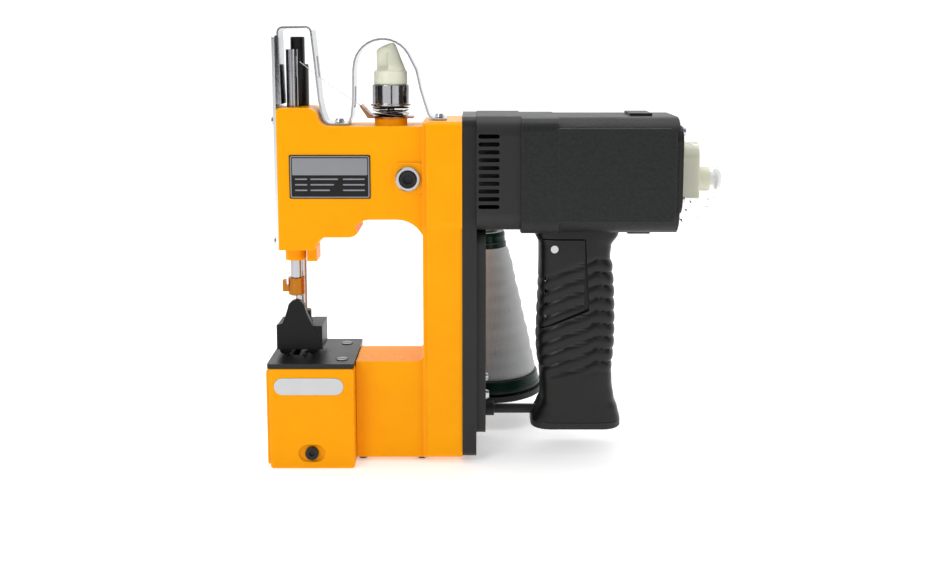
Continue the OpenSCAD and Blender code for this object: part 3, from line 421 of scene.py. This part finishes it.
def skin_faces(rows, around):
    """Faces of a closed skin whose vertices lie in rows round it, with a cap at each end."""
    faces = []
    for row in range(rows - 1):
        for k in range(around):
            n = (k + 1) % around
            faces.append((row * around + k, row * around + n, (row + 1) * around + n,
                          (row + 1) * around + k))
    faces.append(tuple(range(around))[::-1])
    faces.append(tuple(range((rows - 1) * around, rows * around)))
    return faces


def tube(path, radius, sides=12):
    """Vertices and faces of a round tube along a path, with end caps."""
    verts = []
    count = len(path)
    side = None
    for i, point in enumerate(path):
        ahead = path[min(i + 1, count - 1)] - path[max(i - 1, 0)]
        ahead.normalize()
        if side is None:
            side = ahead.orthogonal().normalized()
        side = (side - ahead * side.dot(ahead)).normalized()
        up = ahead.cross(side)
        for k in range(sides):
            a = 2 * math.pi * k / sides
            verts.append(point + (side * math.cos(a) + up * math.sin(a)) * radius)
    return verts, skin_faces(count, sides)


def moved(verts, matrix):
    return [matrix @ v for v in verts]


def middle(node):
    low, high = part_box(node)
    return (Vector(low) + Vector(high)) / 2


# ---- castings and casings ---------------------------------------------------------------
EDGES = {
    "frame_casting": 0.0013, "column_housing": 0.0016, "belt_case": 0.0018,
    "motor_front_casing": 0.0007, "motor_housing": 0.0016, "rear_cover": 0.0012,
    "looper_box": 0.0010, "looper_cover": 0.0009, "side_cover": 0.0005,
    "throat_plate": 0.0005, "grip_base_cap": 0.0012, "stay_bar": 0.0005,
    "face_plate": 0.0004, "guard_strip": 0.0003, "presser_foot": 0.0008,
    "presser_lever": 0.0007, "presser_sleeve": 0.0007, "needle_clamp": 0.0006,
    "looper_cover_screw": 0.0004, "thread_guide": 0.0003,
    "cone_tray": 0.0007, "cord_gland": 0.0008, "oil_reservoir": 0.0012,
    "needle_bar": 0.0005,
    "tension_cup": 0.0004, "needle_lever": 0.0006,
    "connecting_rod": 0.0004, "throat_plate_screws": 0.0003, "pan_head_screws": 0.0003,
    "base_screws": 0.0003,
}
for edged_node, edge_width in EDGES.items():
    dressed(edged_node, edge_width)


def build_vent_shade_duct():
    """Dark duct around the motor shaft, seen through the ventilation slots: a dark part that paints the shade inside
    the vents.
    """
    low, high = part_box("motor_front_casing")
    axis = middle("rotor")
    length = (high[0] - low[0]) / MM
    wall = [(30.6, 0.6), (32.0, 0.6), (32.0, length - 14.0), (34.5, length - 13.0),
            (34.5, length - 11.8), (30.6, length - 11.8), (30.6, 0.6)]
    verts, faces = turned(wall)
    turn = at((low[0], axis.y, axis.z), "Y", 90)
    # Black so the slots read dark: painted shade inside the vents.
    new_piece("vent_shade_duct", moved(verts, turn), faces, "black_plastic", "frame")


build_vent_shade_duct()


# ---- pistol grip and trigger ------------------------------------------------------------
GRIP_LOW, GRIP_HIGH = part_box("grip_front_half")
GRIP_Y = GRIP_HIGH[1]
GRIP_HALF = GRIP_HIGH[1] - GRIP_LOW[1]
FOOT_Z = GRIP_LOW[2]
# Height above the foot's seam, left X and right X of the grip's outline, in millimetres
GRIP_SIDES = [
    (0, 161.3, 223.9), (8.2, 165.6, 222), (14.3, 168.2, 219.6), (25.7, 167.9, 217.9),
    (35.7, 167.2, 217.5), (44.3, 165.3, 218.4), (56.3, 164.9, 219.3), (72.7, 164.9, 219.3),
    (91.8, 165.7, 218.7), (109.4, 166.2, 217.2), (115.7, 166.2, 215.4), (123.4, 166.1, 216.2),
    (129.8, 163.8, 220.6), (133.7, 163.4, 221.6)]
GRIP_SEAM = 19.2                 # height of the foot's seam when the machine rests, in mm
GRIP_CREASE = 38                 # degrees; sharper edges stay crisp
RIB_PITCH = 8.9
RIB_DEPTH = 1.5
SEAM_GAP = 0.00006               # each half stops this far from the grip's middle plane
TRIGGER_CORE = 0.0152            # half width of the grip's solid middle behind the trigger
TRIGGER_SLACK = 0.0155           # half width of the hollow in the trigger round that middle


def smooth_step(value, low, high):
    t = min(1.0, max(0.0, (value - low) / (high - low)))
    return t * t * (3 - 2 * t)


def grip_sides(height):
    """Left and right X of the grip, in millimetres, at a height above its seam."""
    for below, above in zip(GRIP_SIDES, GRIP_SIDES[1:]):
        if height <= above[0]:
            t = smooth_step(height, below[0], above[0]) * 0.35
            t += 0.65 * (height - below[0]) / (above[0] - below[0])
            return tuple(b + (a - b) * t for b, a in zip(below[1:], above[1:]))
    return GRIP_SIDES[-1][1:]


def rib_groove(x, height):
    """Depth of the rib pattern in millimetres: broad ridges that climb to the back, narrow grooves."""
    front, turn = 165.0, 205.0
    climb = (0.44 * (min(x, turn) - front) - 0.25 * max(0.0, x - turn)
             + 0.7 * math.sin((x - front) / 7.5))
    level = height - climb
    ridge = abs(math.sin(math.pi * level / RIB_PITCH)) ** 0.42
    fade = smooth_step(level, 17.0, 22.0) * (1.0 - smooth_step(level, 96.0, 101.0))
    fade *= smooth_step(height, 30.0, 36.0)
    return RIB_DEPTH * (1.0 - ridge) * fade


def grip_skin(inset):
    """Closed skin of the whole grip, with its ribs, drawn in by an inset in millimetres."""
    around, step = 128, 0.7
    rows = int(GRIP_SIDES[-1][0] / step) + 1
    verts = []
    for row in range(rows):
        height = GRIP_SIDES[-1][0] * row / (rows - 1)
        left, right = grip_sides(height)
        mid, half = (left + right) / 2, (right - left) / 2 - inset
        deep = GRIP_HALF / MM - inset
        for k in range(around):
            a = 2 * math.pi * k / around
            c, s = math.cos(a), math.sin(a)
            x = math.copysign(abs(c) ** 0.5, c)
            y = math.copysign(abs(s) ** 0.5, s)
            groove = rib_groove(mid + half * x, height)
            size = 1.0 - groove / 17.0
            verts.append(Vector(((mid + half * x * (1 - groove / half)) * MM,
                                 GRIP_Y + deep * y * size * MM, FOOT_Z + height * MM)))
    return verts, skin_faces(rows, around)


def prism_xz(outline, y0, y1):
    """Vertices and faces of an X-Z outline in millimetres, counter-clockwise, between two Y planes."""
    count = len(outline)
    verts = [Vector((x * MM, y, z * MM)) for y in (y0, y1) for x, z in outline]
    faces = [tuple(range(count)), tuple(range(count, 2 * count))[::-1]]
    for i in range(count):
        j = (i + 1) % count
        faces.append((j, i, count + i, count + j))
    return verts, faces


def carved(piece, tool, how="DIFFERENCE"):
    """Cuts a piece with a closed mesh object, which dropped() removes afterwards."""
    cut = piece.modifiers.new("cut", "BOOLEAN")
    cut.operation = how
    cut.object = tool
    cut.solver = "EXACT"
    baked(piece)
    return piece


def dropped(*tools):
    for tool in tools:
        bpy.data.objects.remove(tool, do_unlink=True)


def build_grip():
    """The two ribbed grip halves, and the trigger cut from the same skin."""
    wide = GRIP_HALF + 0.002
    datum = FOOT_Z / MM - GRIP_SEAM
    tools = {}
    for name, half_width, outline in (
            ("core", TRIGGER_CORE, [(174.2, 60), (210, 60), (210, 170), (171.2, 170)]),
            ("slack", TRIGGER_SLACK, [(170.2, 60), (215, 60), (215, 170), (170.2, 170)]),
            ("window", wide, [(150, 77.0), (200.4, 97.9), (197.4, 147.7), (150, 147.7)]),
            ("paddle", wide, [(150, 78.2), (196.7, 98.6), (196.7, 146.6), (150, 146.6)])):
        block = prism_xz([(x, z + datum) for x, z in outline], GRIP_Y - half_width,
                         GRIP_Y + half_width)
        tools[name] = mesh_object(name + "_tool", *block)
    carved(tools["window"], tools["core"])
    for side, node in ((-1, "grip_front_half"), (1, "grip_back_half")):
        half = new_piece(node + "_moulding", *grip_skin(0.0), "grip_rubber", BODY_OF[node])
        near, far = sorted((GRIP_Y + side * SEAM_GAP, GRIP_Y + side * wide))
        all_round = [(150, 0), (240, 0), (240, 200), (150, 200)]
        tool = mesh_object("half_tool", *prism_xz(all_round, near, far))
        carved(half, tools["window"])
        carved(half, tool, "INTERSECT")
        softened(half.data, GRIP_CREASE)
        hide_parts(node)
        dropped(tool)
    paddle_piece = new_piece("trigger_moulding", *grip_skin(0.35), "grip_rubber_trigger",
                             BODY_OF["trigger"])
    carved(paddle_piece, tools["paddle"], "INTERSECT")
    carved(paddle_piece, tools["slack"])
    softened(paddle_piece.data, GRIP_CREASE)
    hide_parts("trigger")
    dropped(*tools.values())


build_grip()


# ---- thread cone ---------------------------------------------------------------------------
CONE_LEAN = math.radians(3.1)
CONE_AT = Vector((0.139, 0.080, 0.025))
ON_CONE = Matrix.Translation(CONE_AT) @ Matrix.Rotation(-CONE_LEAN, 4, "Y")


def unwrapped(piece, steps, rows):
    """UVs of a lathe: U round the axis, V along the profile."""
    mesh = piece.data
    layer = mesh.uv_layers.new(name="wind")
    for face in mesh.polygons:
        turns = [mesh.loops[i].vertex_index // rows for i in face.loop_indices]
        wraps = max(turns) - min(turns) > 1
        for loop, turn in zip(face.loop_indices, turns):
            along = mesh.loops[loop].vertex_index % rows
            around = steps if wraps and turn == 0 else turn
            layer.data[loop].uv = (around / steps, along / (rows - 1))


def build_winding():
    """Thread wound on the cone: softly rounded ends and a slightly uneven flank."""
    foot, height, low_r, top_r = 9.8, 98.0, 30.9, 14.2
    rows, steps = 60, 128
    profile = [(low_r * 0.76, foot)]
    for k in range(rows):
        t = k / (rows - 1)
        swell = 0.28 * math.sin(t * 61.0) + 0.2 * math.sin(t * 23.0 + 1.0)
        ends = 1.6 * (abs(2 * t - 1) ** 14)
        profile.append((low_r + (top_r - low_r) * t + swell - ends, foot + height * t))
    profile.append((top_r * 0.68, foot + height))
    verts, faces = turned(profile, steps)
    piece = new_piece("wound_thread", moved(verts, ON_CONE), faces, "thread_white",
                      BODY_OF["thread_winding"], sharp=60)
    unwrapped(piece, steps, len(profile))
    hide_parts("thread_winding")


def build_cone_core():
    """Green cone: base rim with a rolled lip, plain body and a ribbed collar at the top."""
    outside = [(33.0, 0.4), (33.4, 1.4), (33.2, 2.6), (32.6, 3.2), (31.6, 9.2), (31.0, 9.7),
               (24.0, 9.7), (13.0, 107.8), (13.1, 108.4), (13.1, 109.6), (12.5, 110.2), (12.2, 113.9), (12.5, 114.6),
               (12.4, 116.8), (11.5, 118.0), (9.0, 118.0), (7.0, 117.0), (5.2, 114.0), (5.2, 3.0),
               (22.0, 2.6), (31.6, 0.4), (33.0, 0.4)]
    verts, faces = turned(outside, 128)
    piece = new_piece("cone_shell", moved(verts, ON_CONE), faces, "green_plastic", BODY_OF["cone_core"])
    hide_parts("cone_core")


build_winding()
build_cone_core()


# ---- thread tension ------------------------------------------------------------------------
TENSION = middle("tension_post")
DISC_PITCH = 2.35                # mm from one disc to the next
DISC_RIM = 0.0125                # radius where the waves are highest, in metres
DISC_WAVE = 0.0007               # height of the waves, in metres
KNOB_LOW, KNOB_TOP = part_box("tension_knob")[0][2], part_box("tension_knob")[1][2]


def build_discs():
    """Three springy discs with wavy rims and raised centres."""
    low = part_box("tension_discs")[0][2]
    for i in range(3):
        profile = [(2.7, 1.3), (7.5, 1.2), (8.6, 0.3), (10.8, 0.5), (12.5, 1.3), (12.7, 1.5),
                   (12.4, 1.75), (10.6, 0.95), (8.8, 0.75), (7.7, 1.65), (2.7, 1.75), (2.7, 1.3)]
        verts, faces = turned(profile, wave=lambda a, r: (
            DISC_WAVE * math.sin(2 * a + i * 1.9) * min(1.0, r / DISC_RIM) ** 2))
        place = Matrix.Translation((TENSION.x, TENSION.y, low + (i * DISC_PITCH - 0.1) * MM))
        piece = new_piece(f"tension_disc_{i + 1}", moved(verts, place), faces, "disc_steel", "frame",
                          sharp=50)
        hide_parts("tension_discs")


def wing_edges(z):
    """Left and right edges of the knob's finger wing at a height above its base, in mm."""
    left = -9.2 + 10.0 * max(0.0, (z - 13.0) / 5.4) ** 1.6
    right = 10.3 - 7.1 * z / 18.0 - 1.0 * max(0.0, (z - 17.0) / 1.4)
    return min(left, right - 0.8), right


def wing_depth(x, z):
    """Half thickness of the wing: a full cone on the right, a scooped fin on the left."""
    cone = 9.9 + (1.9 - 9.9) * smooth_step(z, 0.0, 18.4) ** 0.8
    fin = 9.9 + (2.3 - 9.9) * smooth_step(z, 0.0, 3.4)
    share = smooth_step(x, -2.6, -0.4)
    return cone * share + min(cone, fin) * (1.0 - share)


def build_knob():
    """Ivory knob: a round base with a stepped collar, drawn up into a finger wing."""
    rows, half = 40, 48
    foot = 9.6
    around = 2 * half
    collar = [(10.2, 0.0), (11.1, 0.6), (11.1, 8.6), (10.8, 9.2), (10.3, foot)]
    verts = []
    for r, z in collar:
        for k in range(around):
            a = math.pi - math.pi * k / half
            verts.append(Vector((r * math.cos(a), -r * math.sin(a), z)))
    for row in range(rows):
        z = (KNOB_TOP - KNOB_LOW) / MM - foot - 0.1
        z *= (row + 1) / rows
        left, right = wing_edges(z)
        mid, reach = (left + right) / 2, (right - left) / 2
        for k in range(around):
            a = math.pi - math.pi * k / half
            x = mid + reach * math.cos(a)
            rounding = math.copysign(abs(math.sin(a)) ** 0.75, math.sin(a))
            verts.append(Vector((x, -wing_depth(x, z) * rounding, z + foot)))
    faces = skin_faces(rows + len(collar), around)
    place = Matrix.Translation((TENSION.x, TENSION.y, KNOB_LOW)) @ Matrix.Scale(MM, 4)
    piece = new_piece("knob_moulding", moved(verts, place), faces, "ivory_plastic",
                      BODY_OF["tension_knob"], sharp=48)
    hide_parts("tension_knob")


def helix(low, high, radius, turns, steps=24):
    """Points of a coil between two heights, with flattened end turns."""
    points = []
    for i in range(turns * steps + 1):
        t = i / (turns * steps)
        rise = smooth_step(t, 0.06, 0.94) * 0.15 + 0.85 * min(1.0, max(0.0, (t - 0.06) / 0.88))
        a = 2 * math.pi * turns * t
        points.append(Vector((radius * math.cos(a), radius * math.sin(a), low + (high - low) * rise)))
    return points


def build_springs():
    """The three coil springs as real helices."""
    for node, wire, turns, axis in (("tension_spring", 0.6, 5, "Z"), ("presser_spring", 0.45, 8, "Z"),
                                    ("trigger_spring", 0.4, 9, "X")):
        low, high = (Vector(c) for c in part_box(node))
        mid = (low + high) / 2
        size = high - low
        length = size.x if axis == "X" else size.z
        radius = size.y / 2 - wire * MM
        path = helix(-length / 2 + wire * MM, length / 2 - wire * MM, radius, turns)
        verts, faces = tube(path, wire * MM, 10)
        turn = Matrix.Rotation(math.radians(90), 4, "Y") if axis == "X" else Matrix.Identity(4)
        piece = new_piece(node + "_coil", moved(verts, Matrix.Translation(mid) @ turn), faces,
                          "spring_steel", BODY_OF[node])
        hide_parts(node)


build_discs()
build_knob()
build_springs()


# ---- plates and labels ---------------------------------------------------------------------
def plate_xz(name, outline, y0, y1, material, edge=0.0):
    """Thin plate on a face that looks towards -Y, from an outline in metres."""
    verts, faces = prism_xz([(x / MM, z / MM) for x, z in outline], y0, y1)
    piece = new_piece(name, verts, faces, material, "frame", smooth=False)
    if edge:
        bevel = piece.modifiers.new("edge", "BEVEL")
        bevel.width = edge
        bevel.segments = 2
        baked(piece)
    return piece


def round_box(x0, z0, x1, z1, r, steps=8):
    """Counter-clockwise outline of a rounded rectangle in X and Z."""
    points = []
    corners = ((x1 - r, z0 + r), (x1 - r, z1 - r), (x0 + r, z1 - r), (x0 + r, z0 + r))
    for (cx, cz), start in zip(corners, (-90, 0, 90, 180)):
        for i in range(steps + 1):
            a = math.radians(start + 90 * i / steps)
            points.append((cx + r * math.cos(a), cz + r * math.sin(a)))
    return points


def outline_ring(name, outer, inner, y0, y1, material):
    """Flat ring between two outlines with the same number of points."""
    count = len(outer)
    verts = [Vector((x, y, z)) for y in (y0, y1) for ring in (outer, inner) for x, z in ring]
    faces = []
    for i in range(count):
        j = (i + 1) % count
        faces.append((i, j, count + j, count + i))
        faces.append((2 * count + j, 2 * count + i, 3 * count + i, 3 * count + j))
        faces.append((j, i, 2 * count + i, 2 * count + j))
        faces.append((count + i, count + j, 3 * count + j, 3 * count + i))
    return new_piece(name, verts, faces, material, "frame", smooth=False)


def inset_box(low, high, edge, r):
    return round_box(low[0] + edge, low[2] + edge, high[0] - edge, high[2] - edge, r)


def build_nameplate():
    """Black plate with a silver rim line, a silver band and rows of blank entry lines."""
    low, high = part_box("nameplate")
    face = low[1]
    under = face + 0.0001
    outline_ring("nameplate_rim", inset_box(low, high, 0.0007, 0.0012),
                 inset_box(low, high, 0.0014, 0.0008), face - 0.00008, under, "plate_silver")
    width, height = high[0] - low[0], high[2] - low[2]
    band_low = high[2] - height * 0.46
    band = round_box(low[0] + 0.002, band_low, high[0] - 0.002, high[2] - 0.0021, 0.0006)
    plate_xz("nameplate_band", band, face - 0.00009, under, "plate_silver")
    line_pitch, line_width = 0.0037, 0.0009
    for row in range(3):
        z = band_low - 0.0022 - row * line_pitch
        for start, end in ((0.07, 0.22), (0.26, 0.60 - 0.05 * row), (0.66, 0.93)):
            line = round_box(low[0] + width * start, z - line_width, low[0] + width * end, z, 0.0003, 2)
            plate_xz(f"nameplate_line_{row + 1}_{int(start * 100)}", line, face - 0.00006, under,
                     "plate_silver")
    dressed("nameplate", 0.0002)


def build_label():
    """Plain silver foil label."""
    dressed("serial_label", 0.00012)


build_nameplate()
build_label()


# ---- screws in the arm ---------------------------------------------------------------------
def build_arm_screw():
    """Lever pivot screw: a bright washer ring around a dark socket head."""
    low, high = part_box("arm_screw")
    mid = middle("arm_screw")
    turn = at((mid.x, low[1], mid.z), "X", -90)
    ring = [(5.7, 2.9), (5.7, 0.7), (6.1, 0.25), (7.6, 0.25), (8.2, 0.8), (8.2, 2.9)]
    verts, faces = turned(ring)
    bright = new_piece("pivot_screw_ring", moved(verts, turn), faces, "bright_steel", "frame")
    head = [(0.0, 2.3), (3.0, 2.2), (3.05, 0.5), (3.4, 0.1), (4.9, 0.0), (5.5, 0.5), (5.5, 3.0),
            (4.99, 3.0), (4.99, (high[1] - low[1]) / MM), (0.0, (high[1] - low[1]) / MM)]
    verts, faces = turned(head)
    dark = new_piece("pivot_screw_head", moved(verts, turn), faces, "black_oxide", "frame")
    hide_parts("arm_screw")
    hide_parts("arm_screw")


build_arm_screw()


# ---- sewing thread -------------------------------------------------------------------------
def build_thread():
    """Fine thread held taut from the guide's ear to the sleeve beside the needle bar."""
    ear = Vector((0.0482, 0.0, 0.2405))
    hook = Vector((0.0055, -0.0015, 0.2715))
    path = []
    for i in range(25):
        t = i / 24
        sag = -0.0009 * math.sin(math.pi * t)
        path.append(ear.lerp(hook, t) + Vector((0, 0, sag)))
    verts, faces = tube(path, 0.00022, 8)
    new_piece("sewing_thread", verts, faces, "thread_strand", "frame")


build_thread()


# ---- oiler -----------------------------------------------------------------------------------
def build_oiler_guard():
    """Clear moulded guard round the oiler: two cheeks, two thumb lobes and three sloping shelves."""
    low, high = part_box("pump_guard")
    x0, x1, z0, z1 = low[0] / MM, high[0] / MM, low[2] / MM, high[2] / MM
    y0, y1 = low[1] / MM, high[1] / MM
    outline = [(x0 + 0.2, z0 + 1.0)]
    bends = [(x0 + 10.5, z0 + 8.0, 6.5, -90, -20), (x1 - 5.4, z0 + 20.0, 5.0, -30, 20),
             (x1 - 8.0, z0 + 43.0, 5.7, -10, 60), (x0 + 8.0, z1 - 6.4, 6.0, 15, 90)]
    for x, z, r, start, end in bends:
        for k in range(13):
            a = math.radians(start + (end - start) * k / 12)
            outline.append((x + r * math.cos(a), z + r * math.sin(a)))
    outline.append((x0 + 0.2, z1 - 0.4))
    for side, y in (("front", y0 + 0.5), ("back", y1 - 1.7)):
        piece = plate_xz(f"oiler_guard_{side}", [(x * MM, z * MM) for x, z in outline], y * MM,
                         (y + 1.2) * MM, "clear_plastic", 0.0004)
        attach(piece, "frame")
        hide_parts("pump_guard")
    for i, (x, z) in enumerate([(x0 + 10.7, z1 - 8.0), (x1 - 7.0, z1 - 24.5)]):
        profile = [(0.2, 0.0), (4.2, 0.0), (4.6, 0.3), (4.7, 0.8), (4.7, 1.6), (4.4, 2.0), (4.0, 2.1),
                   (3.4, 1.5), (0.2, 1.4), (0.2, 0.0)]
        verts, faces = turned(profile, 64)
        place = at((x * MM, (y0 + 0.4) * MM, z * MM), "X", 90)
        lobe = new_piece(f"oiler_guard_lobe_{i + 1}", moved(verts, place), faces, "clear_plastic",
                         "frame")
        slip = Vector((0, max(0.0, low[1] - min((v.co.y for v in lobe.data.vertices))), 0))
        lobe.data.transform(Matrix.Translation(slip))
        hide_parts("pump_guard")
    for i, (x, z, length) in enumerate([(x0 + 3.0, z0 + 1.2, 14.0), (x0 + 6.0, z0 + 8.0, 17.0),
                                        (x0 + 9.0, z0 + 13.6, 15.0)]):
        rise = math.tan(math.radians(13.0))
        shelf = [(x, z), (x + length, z + length * rise)]
        for k in range(9):
            a = math.radians(-77 + 180 * k / 8)
            shelf.append((x + length + 0.8 * math.cos(a), z + length * rise + 0.8 + 0.8 * math.sin(a)))
        shelf += [(x + length, z + length * rise + 1.6), (x, z + 1.6)]
        # Points closer than this would pinch the bevel
        nearest = 0.12
        clean = [shelf[0]]
        for point in shelf[1:]:
            if math.hypot(point[0] - clean[-1][0], point[1] - clean[-1][1]) > nearest:
                clean.append(point)
        piece = plate_xz(f"oiler_guard_shelf_{i + 1}", [(x * MM, z * MM) for x, z in clean],
                         (y0 + 2.2) * MM, (y1 - 2.2) * MM, "clear_plastic", 0.0003)
        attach(piece, "frame")
        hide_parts("pump_guard")


def build_oil_button():
    """Push button of the oiler: a smooth stem with a dished, rounded head."""
    low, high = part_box("oil_button")
    mid = middle("oil_button")
    length = (high[0] - low[0]) / MM
    head = (high[2] - low[2]) / MM / 2
    profile = [(0.0, 0.2), (4.2, 0.2), (4.7, 0.7), (4.7, length - 3.1), (head - 0.5, length - 3.1),
               (head, length - 2.6), (head, length - 1.0), (head - 0.35, length - 0.3),
               (head - 1.0, length), (head - 1.8, length - 0.1), (head - 3.4, length - 0.9), (0.0, length - 1.2)]
    verts, faces = turned(profile, 72)
    turn = at((low[0], mid.y, mid.z), "Y", 90)
    piece = new_piece("oil_button_moulding", moved(verts, turn), faces, "button_white",
                      BODY_OF["oil_button"])
    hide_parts("oil_button")


build_oil_button()
build_oiler_guard()


# ---- stage, camera and light --------------------------------------------------------------
def build_stage():
    """Even white floor, and dark cards that only reflections see, as in a product studio."""
    m = Mat("studio_floor")
    m.set("Base Color", m.mix(m.noise(3.0), rgb(0.87, 0.87, 0.87), rgb(0.89, 0.89, 0.89)))
    m.bsdf.inputs["Emission Color"].default_value = (1, 1, 1, 1)
    m.bsdf.inputs["Emission Strength"].default_value = 0.38
    m.set("Roughness", 0.8)
    m.set("Normal", m.bump(m.noise(300.0), 0.02, 0.001))
    reach = 60.0
    stage_sheet("floor", [(-reach, -reach, 0), (reach, -reach, 0), (reach, reach, 0),
                          (-reach, reach, 0)], m.mat)
    dark = Mat("studio_card")
    dark.set("Base Color", dark.mix(dark.noise(2.0), rgb(0.012, 0.012, 0.012), rgb(0.02, 0.02, 0.02)))
    dark.set("Roughness", 0.9)
    foot, top = 0.02, 1.3
    cards = [("card_left", (-0.75, -0.75), (-0.60, -0.05)), ("card_right", (1.0, -0.7), (0.9, 0.0)),
             ("card_front", (0.16, -1.5), (0.42, -1.5))]
    for name, (x0, y0), (x1, y1) in cards:
        card = stage_sheet(name, [(x0, y0, foot), (x1, y1, foot), (x1, y1, top), (x0, y0, top)],
                           dark.mat)
        card.visible_camera = False
        card.visible_diffuse = False
        card.visible_shadow = False
        card.visible_transmission = False


def stage_sheet(name, corners, material):
    mesh = bpy.data.meshes.new(name)
    mesh.from_pydata(corners, [], [tuple(range(len(corners)))])
    mesh.materials.append(material)
    sheet = bpy.data.objects.new(name, mesh)
    bpy.context.scene.collection.objects.link(sheet)
    return sheet


def build_camera():
    pitch = math.radians(7.74)
    data = bpy.data.cameras.new("camera")
    data.sensor_width = 36.0
    data.lens = 42.36
    data.shift_y = -0.1
    camera = bpy.data.objects.new("camera", data)
    camera.location = (0.1215, -0.75, 0.2862)
    camera.rotation_euler = (math.radians(90.0) - pitch, 0.0, 0.0)
    bpy.context.scene.collection.objects.link(camera)
    bpy.context.scene.camera = camera


def soft_light(name, place, aim, size, power, colour=(1, 1, 1)):
    data = bpy.data.lights.new(name, "AREA")
    data.shape = "RECTANGLE"
    data.size, data.size_y = size
    data.energy = power
    data.color = colour
    lamp = bpy.data.objects.new(name, data)
    lamp.location = place
    lamp.rotation_euler = (Vector(aim) - Vector(place)).to_track_quat("-Z", "Y").to_euler()
    bpy.context.scene.collection.objects.link(lamp)


def build_light():
    centre = (0.13, 0.0, 0.15)
    soft_light("key", (-0.55, -1.0, 0.95), centre, (0.55, 0.55), 6.0)
    soft_light("fill", (1.1, -0.9, 0.6), centre, (0.5, 0.7), 2.4)
    soft_light("top", (0.15, 0.15, 1.25), centre, (0.8, 0.5), 4.0)
    soft_light("back", (0.1, 1.1, 0.7), centre, (1.2, 0.6), 1.0)
    world = bpy.data.worlds.new("studio")
    world.use_nodes = True
    nodes, links = world.node_tree.nodes, world.node_tree.links
    backdrop = nodes["Background"]
    backdrop.inputs[0].default_value = (1, 1, 1, 1)
    heading = nodes.new("ShaderNodeTexCoord")
    split = nodes.new("ShaderNodeSeparateXYZ")
    links.new(heading.outputs["Generated"], split.inputs[0])
    depth = nodes.new("ShaderNodeMapRange")
    depth.interpolation_type = "SMOOTHSTEP"
    for slot, value in (("From Min", -0.75), ("From Max", 0.05), ("To Min", 0.16), ("To Max", 1.12)):
        depth.inputs[slot].default_value = value
    links.new(split.outputs["Y"], depth.inputs["Value"])
    links.new(depth.outputs["Result"], backdrop.inputs[1])
    bpy.context.scene.world = world
    bpy.context.scene.view_settings.view_transform = "Standard"


build_stage()
build_camera()
build_light()
